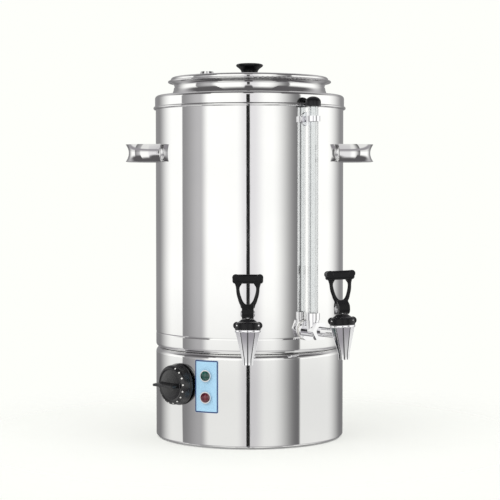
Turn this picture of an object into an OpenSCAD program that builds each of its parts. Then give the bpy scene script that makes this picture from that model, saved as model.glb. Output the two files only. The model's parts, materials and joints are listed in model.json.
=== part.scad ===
// Milk boiler with an inner pot in a heated water jacket, two lever taps and a sight glass.
// Millimetres, +Z up. The front faces -Y. The origin is on the tank's axis at the surface it stands on.

/* [Body] */
// Outside diameter of the base and of the tank
body_d = 280; // [250:2:310]
// Thickness of the sheet metal
sheet_t = 1; // [0.8:0.1:1.4]
// Thickness of the rubber ring that the boiler stands on
foot_t = 2; // [1.5:0.1:4]
// Height of the base skirt
skirt_h = 125; // [125:1:160]
// Width of the skirt's turned-in bottom flange
skirt_flange_w = 19; // [17:0.5:24]
// Bend radius at the skirt's bottom edge
skirt_bend = 3; // [2:0.5:5]
// Height of the deck's rounded shoulder
shoulder_h = 8; // [3:0.5:10]
// Depth of the deck's spigot inside the skirt
spigot_h = 12; // [8:0.5:16]
// Width of the deck ring
deck_w = 35; // [32:1:42]
// Height of the tank shell
shell_h = 368; // [320:1:420]
// Bend radius at the tank shell's bottom edge
shell_bend = 6; // [4:0.5:9]
// Width of the tank shell's turned-in bottom flange
shell_flange_w = 14; // [12:0.5:18]
// Height of the rolled groove above the deck
groove_up = 22; // [18:0.5:26]
// Depth of the rolled groove
groove_depth = 0.5; // [0.2:0.1:0.8]
// Height of the collar that caps the tank
collar_h = 21; // [16:0.5:26]
// Bend radius at the collar's top edge
collar_bend = 5; // [3:0.5:7]
// How far the collar's bead stands out
collar_bead = 2.4; // [0.5:0.1:2.5]

/* [Pot and lid] */
// Width of the water jacket between the pot and the tank's wall
jacket_w = 27; // [26:0.5:29]
// Bend radius at the pot's bottom edge
pot_bend = 3; // [2:0.2:4]
// Height of the ring around the pot's neck
neck_ring_h = 11; // [10:0.5:20]
// Width of the neck ring at its foot
neck_ring_w = 4.4; // [3:0.2:6]
// Straight neck between the ring and the flared rim
neck_gap = 1.5; // [1:0.1:4]
// Radius of the flared rim
flare_r = 7.5; // [6:0.5:10]
// Diameter of the rolled bead on the rim
rim_bead_d = 3; // [2.4:0.1:3.6]
// How far the lid's edge stays inside the rim's top
lid_inset = 2; // [1.8:0.1:3]
// Height of the lid's rounded edge
lid_edge_h = 6; // [4.5:0.5:9]
// Bend radius of the lid's edge
lid_bend = 3.5; // [2:0.5:4]
// Rise of the lid's dome
lid_dome = 5; // [3:0.5:12]
// Depth of the ring that centres the lid in the neck
lid_ring_h = 12; // [8:0.5:16]
// Gap between the centring ring and the pot's neck
lid_ring_gap = 3.5; // [1:0.5:6]
// Distance of the steam vent inside the centring ring
vent_inset = 21.5; // [15:0.5:40]
// Diameter of the steam vent
vent_d = 20; // [14:1:26]
// Height of the steam vent
vent_rise = 3; // [2:0.5:6]
// Diameter of the lid knob
knob_d = 40; // [32:1:50]
// Diameter of the lid knob's foot
knob_foot_d = 26; // [22:1:30]
// Height of the lid knob
knob_h = 16.5; // [14:0.5:30]

/* [Handles] */
// Distance of the handles below the collar's top
handle_drop = 85.5; // [70:0.5:120]
// Distance between a handle's two legs
handle_span = 98; // [90:1:116]
// How far a handle stands out from the tank
handle_reach = 40; // [38:1:56]
// Width of the handle tube
handle_tube_w = 16; // [14:0.5:20]
// Height of the handle tube
handle_tube_h = 25.5; // [22:0.5:30]
// Wall of the handle tube
handle_wall = 1.5; // [1:0.1:2.5]
// Bend radius of the handle tube
handle_bend = 26; // [18:1:28]
// Diameter of a handle's rosettes
rosette_d = 28; // [27:1:40]
// Thickness of a handle's rosettes
rosette_t = 3; // [2:0.5:5]

/* [Taps] */
// Height of the front tap's shank above the tank's floor
tap_up = 28.5; // [27:0.5:45]
// Height of the side tap's shank above the tank's floor
side_tap_up = 31.5; // [27:0.5:45]
// Distance of a tap's axis from the tank's wall
tap_reach = 83; // [76:1:100]
// Angle of the front tap from the front
front_az = -0.6; // [-4:0.2:4]
// Angle of the side tap from the front
side_az = 35.5; // [32:0.5:60]
// Backward lean of a tap's column
tap_lean = 5; // [0:1:8]
// Diameter of the tap shanks
shank_d = 14; // [12:0.5:15]
// Bore of the tap shanks
shank_bore = 9; // [6:0.5:9]
// Diameter of a tap's fluted cup at its top
cup_d = 36; // [34:0.5:38]
// Height of the cup's rim above the shank
cup_up = 12.5; // [12:0.5:16]
// Number of flats round the cup
flat_count = 10; // [6:2:12]
// Distance of the nozzle's tip below the shank
nozzle_drop = 35; // [30:1:45]
// Diameter of the nozzle's tip
nozzle_d = 15.6; // [14.6:0.2:17]
// Straight length of the nozzle's tip
tip_h = 8; // [6:0.5:10]
// Bore of the nozzle
nozzle_bore = 11; // [8:0.5:11]
// Distance of the valve seat below the shank
seat_drop = 6; // [5:0.5:8]
// Diameter of the chamber round the valve
chamber_d = 19; // [18:0.5:20]
// Diameter of the bonnet's flange
bonnet_d = 35; // [33:0.5:38]
// Height of the bonnet's flange
bonnet_h = 8; // [3:0.5:9]
// Height of the bonnet's cone
bonnet_cone_h = 7; // [6:0.5:13]
// Diameter of the bonnet's flat top
bonnet_top_d = 22; // [20:0.5:26]
// Width over the bonnet's two eyelets
eyelet_span = 42; // [41:0.5:46]
// Diameter of the eyelets
eyelet_d = 10; // [9:0.5:11]
// Diameter of the holes in the eyelets
eyelet_hole_d = 5; // [4:0.5:6]
// Turn of the side tap's bonnet on its thread
side_bonnet_turn = -35; // [-45:1:45]
// Turn of the side tap's stem and lever in the bonnet
side_lever_turn = -17; // [-35:1:35]
// Diameter of the valve stem
stem_d = 4; // [3.5:0.1:4.5]
// Diameter of the stem's eye
eye_d = 8; // [7:0.5:9]
// Width of the stem's eye
eye_w = 6; // [5:0.5:7]
// Diameter of the lever's pin
pin_d = 3; // [2.5:0.1:3.5]
// Diameter of the pin's round heads
pin_head_d = 9; // [8:0.5:11]
// Height of the pin's heads
pin_head_h = 2.5; // [2.5:0.5:6]
// Diameter of the valve cup
valve_d = 16; // [14:0.5:17]
// Height of the valve cup
valve_h = 9; // [8:0.5:10]
// Wire of the valve spring
spring_wire = 1; // [0.8:0.1:1.2]
// Turns of the valve spring
spring_turns = 6; // [4:1:7]

/* [Levers] */
// Radius of the lever's cam
cam_r = 7; // [6.6:0.1:9]
// Distance of the cam's centre in front of the pin
cam_offset = 5; // [3:0.5:6]
// Opening angle of the lever
lever_open = 40; // [30:1:45]
// Width of the lever's neck
neck_w = 15.4; // [13:0.2:17]
// Distance of the lever's heel behind the pin
heel_back = 9; // [6:0.5:10]
// Height of the lever's block above the pin
block_up = 5.5; // [4:0.5:8]
// Thickness of the lever's ring
lever_t = 6; // [6:0.5:10]
// Height of the ring's lower end above the pin
ring_up = 5; // [4:0.5:8]
// Width of the lever's ring
ring_w = 33; // [31:0.5:38]
// Width of the finger hole
hole_w = 23; // [20:0.5:24]
// Height of the finger hole
hole_h = 28; // [24:0.5:30]
// Web between the ring's lower end and the finger hole
hole_web = 8; // [6:0.5:10]
// Width of the lever's top bar
bar_w = 43; // [40:0.5:48]
// Diameter of the lever's top bar
bar_d = 13; // [11:0.5:14]

/* [Sight glass] */
// Diameter of the glass tube
glass_d = 15; // [13:0.5:16]
// Wall of the glass tube
glass_wall = 3; // [1.2:0.1:3.2]
// Diameter of the cap on the glass
cap_d = 22; // [20:0.5:26]
// Height of the cap
cap_h = 14; // [12:0.5:18]
// Distance of the cap's lower edge below the collar's top
cap_drop = 21.5; // [18:0.5:26]
// Distance of the bracket below the collar's top
bracket_drop = 39; // [34:0.5:60]
// Height of the bracket's ring
bracket_h = 8; // [6:0.5:12]
// Diameter of the tee's arms
tee_d = 18; // [17.5:0.5:20]
// Length of the tee past the glass
tee_out = 12; // [11:0.5:18]
// Height of the tee's upright arm above the shank
tee_rise = 15; // [14:0.5:20]
// Diameter of the gland nut on the glass
glass_nut_d = 20; // [19.5:0.5:22]
// Height of the gland nut on the glass
glass_nut_h = 10; // [8:0.5:14]
// Width of the lock nut across its flats
lock_nut_w = 24; // [22:0.5:26]
// Thickness of the lock nut
lock_nut_t = 6; // [4:0.5:8]
// Diameter of the round flanges at the tank's wall
flange_d = 30; // [28:0.5:32]
// Thickness of the round flanges
flange_t = 4; // [3:0.5:5]
// Thickness of the gaskets behind the flanges
gasket_t = 2; // [1.5:0.1:3]

/* [Controls] */
// Height of the row of controls
control_z = 88.5; // [80:0.5:88.5]
// Angle of the dial from the front
dial_az = -46; // [-56:1:-46]
// Diameter of the dial
dial_d = 61; // [54:1:62]
// Depth of the dial's skirt
dial_h = 18; // [16:0.5:24]
// Height of the dial's grip
grip_h = 15; // [8:0.5:16]
// Length of the dial's grip
grip_len = 43; // [36:1:46]
// Diameter of the thermostat's shaft
shaft_d = 6; // [5:0.2:6.4]
// Angle of the control plate from the front
plate_az = -26; // [-27:0.5:-20]
// Width of the control plate
plate_w = 36.5; // [28:0.5:37]
// Height of the control plate
plate_h = 75; // [64:1:80]
// Thickness of the control plate
plate_t = 0.8; // [0.5:0.1:1.2]
// Diameter of the lamp lenses
lens_d = 14; // [12:0.2:15]
// Distance between the two lamps
lamp_pitch = 31; // [24:1:36]
// Rise of the lamps' domes
lens_rise = 3; // [2:0.5:5]

/* [Heater and base] */
// Diameter of the heating element's tube
element_d = 8; // [6.5:0.1:9]
// Gap under and over the heating element
element_gap = 3.5; // [3:0.1:5]
// Distance of the heating element's ring inside the deck ring
element_inset = 20; // [17:0.5:28]
// Length of the element's legs below the tank
leg_drop = 28; // [24:1:34]
// Height of the thermostat bulb's pocket
well_h = 50; // [40:1:80]
// Diameter of the bulb
bulb_d = 7; // [6:0.2:8]
// Diameter of the thermal cut-out
cutout_d = 24; // [20:1:30]
// Height of the cable gland
gland_z = 36; // [30:1:50]
// Bore of the cable gland
gland_bore = 9; // [7:0.5:10]
// Thread diameter of the cable gland
gland_thread_d = 16; // [14:0.5:18]
// Diameter of the wires
wire_d = 2.6; // [2:0.1:3]

/* [Fits] */
// Gap between pieces that sit together
seat_gap = 0.05; // [0.02:0.01:0.1]
// Gap between pieces that move past each other
slip_gap = 0.3; // [0.25:0.05:0.5]
// Radial clearance of a running pin
run_gap = 0.05; // [0.03:0.01:0.08]

/* [Hidden] */
$fn = 96;

// Colours
steel = "silver";
dull_steel = "darkgray";
chrome = "gainsboro";
plastic = [0.06, 0.06, 0.07];
rubber = [0.42, 0.42, 0.42];
silicone = "whitesmoke";
brass = "goldenrod";
ceramic = "wheat";

// Levels of the base
body_r = body_d / 2;
skirt_top = foot_t + skirt_h;
skirt_in_r = body_r - skirt_flange_w;
wall_in_r = body_r - sheet_t;
screw_head_d = 7;
screw_d = 4;
screw_hole_d = 4.4;
screw_r = skirt_in_r + screw_head_d / 2 + 1.5;
screw_floor_gap = 0.4;
foot_in_r = screw_r + screw_head_d / 2 + 0.5;
plate_z = foot_t + sheet_t + seat_gap;
plate_top = plate_z + sheet_t;
plate_r = body_r - skirt_bend - slip_gap;
deck_z = skirt_top + seat_gap;
deck_top = deck_z + shoulder_h;
deck_in_r = body_r - deck_w;
stud_d = 5;
stud_hole_d = 5.4;
stud_nut_w = 8;
stud_nut_h = 4;
stud_r = deck_in_r + 12;

// Levels of the tank
shell_z = deck_top + seat_gap;
shell_top = shell_z + shell_h;
tank_z = shell_z + sheet_t + seat_gap;
tank_floor = tank_z + sheet_t;
tank_r = body_r - shell_bend;
collar_r = body_r + seat_gap + sheet_t;
collar_top = shell_top + collar_bend;
groove_z = deck_top + groove_up;
groove_half = 1.5;
pot_r = wall_in_r - jacket_w;
pot_z = tank_floor + 2 * element_gap + element_d;
flare_x = pot_r + flare_r;
flare_z = collar_top + neck_ring_h + neck_gap;

// Levels of the lid, which rests on the flared rim
lid_r = flare_x - lid_inset;
rim_out_r = flare_r + sheet_t;
lid_z = flare_z + sqrt(rim_out_r * rim_out_r - lid_inset * lid_inset) + slip_gap;
lid_shoulder_z = lid_z + lid_edge_h;
lid_flat_r = lid_r - lid_bend;
lid_ring_r = pot_r - sheet_t - lid_ring_gap;
vent_r = lid_ring_r - vent_inset;
knob_seat_r = knob_foot_d / 2 + 1;
lid_top = lid_shoulder_z + lid_dome;
knob_screw_d = 5;
knob_screw_head_d = 10;
knob_screw_head_h = 3;
knob_screw_depth = 9;

// Places of the taps and of the sight glass
tap_z = tank_floor + tap_up;
side_tap_z = tank_floor + side_tap_up;
tap_r = body_r + tap_reach;
flange_r = body_r + gasket_t + seat_gap;
ferrule_d = shank_d + 6;
ferrule_end = 4;
boss_len = 11;
gauge_r = collar_r + collar_bead + slip_gap + 0.2 + cap_d / 2;
tee_end_r = gauge_r + tee_out;
tee_socket = 9;
glass_ledge = side_tap_z + tee_rise - 6;
glass_top = collar_top - cap_drop + cap_h - 5;

// Heights along a tap's column, from the shank's axis
spigot_bore_d = cup_d - 10;
bonnet_t = cup_up + seat_gap;
cone_t = bonnet_t + bonnet_h;
bonnet_top_t = cone_t + bonnet_cone_h;
pin_t = bonnet_top_t + slip_gap + cam_r;
valve_t = 0.1 - seat_drop;
valve_top_t = valve_t + valve_h;
valve_lift = cam_offset * lever_open * PI / 180;
bonnet_foot_t = valve_top_t + valve_lift + 2 * slip_gap;
spigot_floor_t = bonnet_foot_t - slip_gap;
stem_foot_t = valve_t + 3;
stem_bore_d = stem_d + 2 * slip_gap;
spring_d = stem_d + 5;
spring_recess_d = spring_d + 3;
spring_top_t = bonnet_t + 5;
slot_w = eye_w + 2 * slip_gap;
bar_t = ring_up + hole_web + hole_h + bar_d / 2 - 0.5;

// Places of the controls
dial_back = body_r + 0.8;
dial_r = dial_d / 2;
dial_face_r = dial_r - 3.4;
bushing_d = shaft_d + 4;
bushing_nut_w = bushing_d + 4;
bushing_nut_t = 3;
thermostat_w = 36;
thermostat_depth = 28;
thermostat_r = sqrt(wall_in_r * wall_in_r - thermostat_w * thermostat_w / 4) - slip_gap;
bezel_d = lens_d + 3;
bezel_t = 3;
barrel_d = lens_d - 2;
barrel_len = 18;
light_pipe_d = lens_d - 4;
bezel_r = body_r + plate_t + 2 * seat_gap;
green_z = control_z + lamp_pitch / 2;
red_z = control_z - lamp_pitch / 2;

// Places of the heater and of the base's contents
element_z = tank_floor + element_gap + element_d / 2;
element_half_gap = 15;
element_r = deck_in_r - element_inset;
leg_x = element_r * sin(element_half_gap);
leg_y = element_r * cos(element_half_gap);
leg_bottom = tank_z - leg_drop;
leg_collar_d = element_d + 8;
seal_t = 1.5;
element_nut_w = element_d + 10;
element_nut_h = 6;
well_d = bulb_d + 3;
well_r = pot_r + 3 + well_d / 2;
well_cut_d = well_d + 3;
bulb_gap = 0.2;
bulb_len = well_h - 8;
cutout_h = 12;
cutout_z = tank_z - seat_gap - cutout_h;
button_d = 6;
button_rise = 4;
button_travel = 1.5;
blade_x = cutout_d / 2 - 4;
blade_h = 7;
blade_z = cutout_z - blade_h;
gland_hex_w = gland_thread_d + 8;
gland_len = 12;
gland_nut_t = 5;
gland_nut_r = sqrt(wall_in_r * wall_in_r - gland_hex_w * gland_hex_w / 3) - slip_gap;
block_w = 46;
block_d = 20;
block_h = 18;
block_y = leg_y + 14;
way_pitch = 14;

// Geometry helpers

function arc(x, z, r, from, to, steps = 8) =
    [for (i = [0:steps]) let (a = from + (to - from) * i / steps) [x + r * cos(a), z + r * sin(a)]];

function reversed(list) = [for (i = [len(list) - 1:-1:0]) list[i]];

function direction(a, b) = (b - a) / norm(b - a);

function left_of(d) = [-d[1], d[0]];

// A path moved to its left by t, with mitred corners
function beside(path, t) = [
    for (i = [0:len(path) - 1])
        let (
            last = len(path) - 1,
            before = i > 0 ? direction(path[i - 1], path[i]) : direction(path[0], path[1]),
            after = i < last ? direction(path[i], path[i + 1]) : direction(path[last - 1], path[last]),
            m = left_of(before) + left_of(after)
        )
        path[i] + 2 * t * m / (m * m)
];

// Sheet metal spun about the Z axis: a path of [radius, height] points, thickened to its left
module spun_sheet(path, t = sheet_t) {
    rotate_extrude()
        polygon(concat(path, reversed(beside(path, t))));
}

module at_azimuth(az) {
    rotate([0, 0, az])
        children();
}

// A frame on a radial line, whose local Z points outwards
module facing_out(az, r, z) {
    at_azimuth(az)
        translate([0, -r, z])
            rotate([90, 0, 0])
                children();
}

module radial_cylinder(az, z, d, r0, r1) {
    facing_out(az, r0, z)
        cylinder(d = d, h = r1 - r0);
}

module ring(d_out, d_in, h) {
    difference() {
        cylinder(d = d_out, h = h);
        translate([0, 0, -h])
            cylinder(d = d_in, h = 3 * h);
    }
}

module hexagon_prism(across_flats, h) {
    cylinder(d = across_flats / cos(30), h = h, $fn = 6);
}

module hex_nut(across_flats, bore_d, h) {
    difference() {
        hexagon_prism(across_flats, h);
        translate([0, 0, -h])
            cylinder(d = bore_d, h = 3 * h);
    }
}

module round_rect(w, h, r) {
    square([w - 2 * r, h], center = true);
    square([w, h - 2 * r], center = true);
    for (x = [-1, 1], y = [-1, 1])
        translate([x * (w / 2 - r), y * (h / 2 - r)])
            circle(r = r);
}

// Tube along a route of points

function unit(v) = v / norm(v);

function heading(p, i) = unit(p[min(i + 1, len(p) - 1)] - p[max(i - 1, 0)]);

function square_to(n, t) = unit(n - (n * t) * t);

function first_normal(t) = square_to(abs(t[2]) < 0.9 ? [0, 0, 1] : [1, 0, 0], t);

function carried_normals(p, i = 0, n = [0, 0, 1]) =
    i >= len(p)
        ? []
        : let (t = heading(p, i), m = i == 0 ? first_normal(t) : square_to(n, t))
            concat([m], carried_normals(p, i + 1, m));

// A smooth curve through the route's points
function smooth_route(p, steps) = [
    for (i = [0:len(p) - 2], s = [0:steps - 1])
        let (
            u = s / steps,
            a = p[max(i - 1, 0)],
            b = p[i],
            c = p[i + 1],
            d = p[min(i + 2, len(p) - 1)]
        )
        b + u * (c - a) / 2 + u * u * (a - 2.5 * b + 2 * c - d / 2)
            + u * u * u * (1.5 * (b - c) + (d - a) / 2),
    p[len(p) - 1]
];

module swept_tube(p, d, sides = 8) {
    normals = carried_normals(p);
    rings = len(p);
    points = [
        for (i = [0:rings - 1], k = [0:sides - 1])
            let (m = normals[i], b = cross(heading(p, i), m), a = 360 * k / sides)
            p[i] + d / 2 * (cos(a) * m + sin(a) * b)
    ];
    walls = [
        for (i = [0:rings - 2], k = [0:sides - 1], half = [0, 1])
            let (
                next = (k + 1) % sides,
                near_k = i * sides + k,
                near_next = i * sides + next,
                far_k = near_k + sides,
                far_next = near_next + sides
            )
            half == 0 ? [near_k, far_k, far_next] : [near_k, far_next, near_next]
    ];
    end_base = (rings - 1) * sides;
    caps = [
        for (k = [1:sides - 2], end = [0, 1])
            end == 0 ? [0, k, k + 1] : [end_base, end_base + k + 1, end_base + k]
    ];
    polyhedron(points, concat(walls, caps), convexity = 6);
}

// Base

module bottom_screw_places() {
    for (a = [45:90:315])
        at_azimuth(a)
            translate([0, -screw_r, 0])
                children();
}

module foot_ring() {
    color(rubber)
        ring(2 * (body_r - skirt_bend), 2 * foot_in_r, foot_t - seat_gap);
}

module base_skirt() {
    path = concat(
        [[skirt_in_r, foot_t]],
        arc(body_r - skirt_bend, foot_t + skirt_bend, skirt_bend, -90, 0),
        [[body_r, skirt_top]]
    );
    color(steel)
        difference() {
            spun_sheet(path);
            bottom_screw_places()
                cylinder(d = screw_hole_d, h = 4 * foot_t);
            radial_cylinder(dial_az, control_z, bushing_d + 2 * slip_gap, body_r / 2, body_r + 1);
            for (z = [green_z, red_z])
                radial_cylinder(plate_az, z, barrel_d + 2 * slip_gap, body_r / 2, body_r + 1);
            radial_cylinder(180, gland_z, gland_thread_d + 2 * seat_gap, body_r / 2, body_r + 1);
        }
}

module bottom_plate() {
    slot_w = 4;
    slot_len = 30;
    color(dull_steel)
        difference() {
            translate([0, 0, plate_z])
                cylinder(r = plate_r, h = sheet_t);
            bottom_screw_places()
                cylinder(d = screw_d + 2 * seat_gap, h = 4 * foot_t);
            for (a = [0:30:330])
                at_azimuth(a)
                    translate([-slot_w / 2, skirt_in_r / 3, 0])
                        cube([slot_w, slot_len, 4 * foot_t]);
        }
}

module bottom_screws() {
    thread_len = 8;
    head_h = foot_t - seat_gap - screw_floor_gap;
    color(dull_steel)
        bottom_screw_places() {
            translate([0, 0, screw_floor_gap])
                cylinder(d = screw_head_d, h = head_h);
            translate([0, 0, screw_floor_gap + head_h / 2])
                cylinder(d = screw_d, h = foot_t + thread_len);
        }
}

module stud_places() {
    for (a = [0:90:270])
        at_azimuth(a)
            translate([0, -stud_r, 0])
                children();
}

module well_place() {
    at_azimuth(dial_az)
        translate([0, -well_r, 0])
            children();
}

module base_deck() {
    spigot_r = wall_in_r - seat_gap;
    path = concat(
        [[spigot_r, deck_z - spigot_h], [spigot_r, deck_z]],
        arc(body_r - shoulder_h, deck_z, shoulder_h, 0, 90),
        [[deck_in_r, deck_top]]
    );
    color(steel)
        difference() {
            spun_sheet(path);
            stud_places()
                translate([0, 0, deck_z])
                    cylinder(d = stud_hole_d, h = 2 * shoulder_h);
            well_place()
                translate([0, 0, deck_z])
                    cylinder(d = well_cut_d, h = 2 * shoulder_h);
        }
}

module base_studs() {
    nut_top = deck_top - sheet_t - seat_gap;
    stud_z = nut_top - stud_nut_h - 3;
    color(dull_steel)
        stud_places() {
            translate([0, 0, stud_z])
                cylinder(d = stud_d, h = tank_z - seat_gap - stud_z);
            translate([0, 0, nut_top - stud_nut_h])
                hex_nut(stud_nut_w, stud_d + 2 * seat_gap, stud_nut_h);
        }
}

module cable_gland() {
    hex_t = 5;
    dome_len = gland_len - hex_t;
    thread_len = body_r - gland_nut_r + gland_nut_t + 3;
    color(plastic)
        facing_out(180, body_r + seat_gap, gland_z)
            difference() {
                union() {
                    hexagon_prism(gland_hex_w, hex_t);
                    cylinder(d = gland_hex_w - 2, h = hex_t + dome_len / 2);
                    translate([0, 0, hex_t + dome_len / 2])
                        cylinder(d1 = gland_hex_w - 2, d2 = gland_thread_d, h = dome_len / 2);
                    translate([0, 0, -thread_len])
                        cylinder(d = gland_thread_d, h = thread_len + 1);
                }
                translate([0, 0, -2 * thread_len])
                    cylinder(d = gland_bore, h = 4 * thread_len + gland_len);
            }
}

module gland_nut() {
    color(plastic)
        facing_out(180, gland_nut_r - gland_nut_t, gland_z)
            hex_nut(gland_hex_w, gland_thread_d + 2 * seat_gap, gland_nut_t);
}

module terminal_block() {
    well_w = 8;
    screw_head = 6;
    color(ceramic)
        translate([0, block_y, plate_top + seat_gap])
            difference() {
                translate([-block_w / 2, -block_d / 2, 0])
                    cube([block_w, block_d, block_h]);
                for (x = [-way_pitch, 0, way_pitch], y = [-1, 1])
                    translate([x, y * block_d / 4, block_h / 2]) {
                        cylinder(d = screw_head, h = block_h);
                        translate([-well_w / 2, y > 0 ? 0 : -block_d, -3])
                            cube([well_w, block_d, 5]);
                    }
            }
}

// Ends of the wires: over a screw of the terminal block, under a blade of the cut-out, behind the
// thermostat and under a leg of the heating element
function block_end(way) = [way * way_pitch, block_y - block_d / 4, plate_top + block_h / 2 + 2 * seat_gap];

function blade_end(way) = [way * blade_x, 0, blade_z - seat_gap];

function leg_end(way) = [way * leg_x, leg_y, leg_bottom - seat_gap];

function thermostat_end(way) =
    let (r = thermostat_r - thermostat_depth - seat_gap, x = 0.3 * way * thermostat_w)
    [
        x * cos(dial_az) + r * sin(dial_az),
        x * sin(dial_az) - r * cos(dial_az),
        control_z
    ];

// Three points in line that lead a wire straight away from its end
function straight_from(end, along) = [for (i = [0:2]) end + i * block_h / 2 * along];

function straight_to(end, along) = reversed(straight_from(end, along));

// Routes of the wires inside the base
up = [0, 0, 1];
inwards = [-sin(dial_az), cos(dial_az), 0];
wire_routes = [
    concat(
        straight_from(block_end(-1), up),
        [[-30, 50, 60], [-16, 10, 80]],
        straight_to(blade_end(-1), -up)
    ),
    concat(
        straight_from(blade_end(1), -up),
        [[0, -30, 84], [-40, -52, 86]],
        straight_to(thermostat_end(1), inwards)
    ),
    concat(
        straight_from(thermostat_end(-1), inwards),
        [[-74, 20, 70], [-50, 66, 72]],
        straight_to(leg_end(-1), -up)
    ),
    concat(straight_from(block_end(1), up), [[26, 88, 60]], straight_to(leg_end(1), -up))
];

module wiring() {
    color("firebrick")
        for (route = wire_routes)
            swept_tube(smooth_route(route, 6), wire_d);
}

// Controls

module thermostat_body() {
    bushing_len = body_r - thermostat_r + bushing_nut_t + 1;
    color(ceramic)
        facing_out(dial_az, thermostat_r, control_z)
            difference() {
                union() {
                    translate([-thermostat_w / 2, -thermostat_w / 2, -thermostat_depth])
                        cube([thermostat_w, thermostat_w, thermostat_depth]);
                    translate([0, 0, -1])
                        cylinder(d = bushing_d, h = bushing_len + 1);
                }
                translate([0, 0, -thermostat_depth / 2])
                    cylinder(d = shaft_d + 2 * run_gap, h = thermostat_depth + bushing_len);
            }
}

module thermostat_nut() {
    color(brass)
        facing_out(dial_az, body_r + seat_gap, control_z)
            hex_nut(bushing_nut_w, bushing_d + 2 * seat_gap, bushing_nut_t);
}

module thermostat_shaft() {
    foot = thermostat_depth / 2 - slip_gap;
    color(brass)
        facing_out(dial_az, thermostat_r - foot, control_z)
            cylinder(d = shaft_d, h = foot + dial_back + dial_h - 4 - thermostat_r);
}

// Half the thickness of the dial's grip at a share of its height
function grip_half(share) = 1.3 + 7.7 * pow(1 - share, 2.2);

module dial_grip() {
    steps = 10;
    face = dial_h - 2;
    side = [for (i = [0:steps]) [grip_half(i / steps), face + (grip_h + 2) * i / steps]];
    mirrored = [for (p = reversed(side)) [-p[0], p[1]]];
    intersection() {
        rotate([90, 0, 90])
            linear_extrude(height = grip_len, center = true)
                polygon(concat(side, mirrored));
        cylinder(d = grip_len, h = 2 * (dial_h + grip_h));
    }
}

module thermostat_dial() {
    wall = 3;
    lip = 3;
    bevel = 2;
    cavity = bushing_nut_t + 4;
    color(plastic)
        facing_out(dial_az, dial_back, control_z)
            difference() {
                union() {
                    rotate_extrude()
                        polygon([
                            [0, 0], [dial_r, 0], [dial_r, lip], [dial_r - 1, lip + 1],
                            [dial_face_r, dial_h - bevel], [dial_face_r - bevel, dial_h],
                            [dial_face_r - 2 * bevel, dial_h - 1], [0, dial_h - 1]
                        ]);
                    dial_grip();
                }
                translate([0, 0, -1])
                    cylinder(r = dial_face_r - wall, h = cavity + 1);
                translate([0, 0, -1])
                    cylinder(d = shaft_d, h = dial_h - 4 + 1);
            }
}

module capillary_sensor() {
    bulb_z = tank_z + 3;
    tube_d = 1.6;
    top = control_z + thermostat_w / 2 + seat_gap;
    middle = (bulb_z + top) / 2;
    feed_r = thermostat_r - thermostat_depth / 2;
    color("peru")
        at_azimuth(dial_az) {
            translate([0, -well_r, bulb_z])
                cylinder(d = bulb_d, h = bulb_len);
            swept_tube(
                smooth_route([
                    [0, -well_r, bulb_z + 2], [0, -well_r, bulb_z - 7], [8, -well_r, middle + 2],
                    [8, -feed_r, middle - 4], [0, -feed_r, top + 8], [0, -feed_r, top]
                ], 5),
                tube_d, 6
            );
        }
}

module thermal_cutout() {
    plate_d = cutout_d + 8;
    plate_h = 1.5;
    color("dimgray")
        difference() {
            union() {
                translate([0, 0, cutout_z])
                    cylinder(d = cutout_d, h = cutout_h);
                translate([0, 0, tank_z - seat_gap - plate_h])
                    cylinder(d = plate_d, h = plate_h);
                for (x = [-blade_x, blade_x])
                    translate([x - 0.4, -3, blade_z])
                        cube([0.8, 6, blade_h + 1]);
            }
            translate([0, 0, cutout_z - 1])
                cylinder(d = button_d + 2 * run_gap, h = 1 + button_travel + 4);
        }
}

module reset_button() {
    color("red")
        translate([0, 0, cutout_z - button_rise])
            cylinder(d = button_d, h = button_rise + 4 - slip_gap);
}

module control_plate() {
    color("lightskyblue")
        intersection() {
            ring(2 * (body_r + plate_t + seat_gap), 2 * (body_r + seat_gap), 2 * control_z);
            facing_out(plate_az, body_r / 2, control_z)
                linear_extrude(height = body_r)
                    difference() {
                        round_rect(plate_w, plate_h, 2);
                        for (y = [-1, 1])
                            translate([0, y * lamp_pitch / 2])
                                circle(d = barrel_d + 2 * slip_gap);
                    }
        }
}

module lamp_bezels() {
    color(chrome)
        for (z = [green_z, red_z])
            facing_out(plate_az, bezel_r, z)
                difference() {
                    union() {
                        cylinder(d = bezel_d, h = bezel_t);
                        translate([0, 0, -barrel_len])
                            cylinder(d = barrel_d, h = barrel_len + 1);
                    }
                    translate([0, 0, 1])
                        cylinder(d = lens_d + 2 * seat_gap, h = bezel_t);
                    translate([0, 0, -barrel_len - 1])
                        cylinder(d = light_pipe_d + 2 * seat_gap, h = barrel_len + bezel_t);
                }
}

module lamp_lens(z) {
    straight = bezel_t;
    dome_r = (lens_d * lens_d / 4 + lens_rise * lens_rise) / (2 * lens_rise);
    facing_out(plate_az, bezel_r + 1 + seat_gap, z) {
        cylinder(d = lens_d, h = straight);
        intersection() {
            translate([0, 0, straight + lens_rise - dome_r])
                sphere(r = dome_r);
            translate([0, 0, straight - 1])
                cylinder(d = lens_d, h = lens_rise + 2);
        }
        translate([0, 0, -barrel_len])
            cylinder(d = light_pipe_d, h = barrel_len + 1);
    }
}

module green_lamp_lens() {
    color("darkgreen")
        lamp_lens(green_z);
}

module red_lamp_lens() {
    color("darkred")
        lamp_lens(red_z);
}

// Tank and pot

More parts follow.
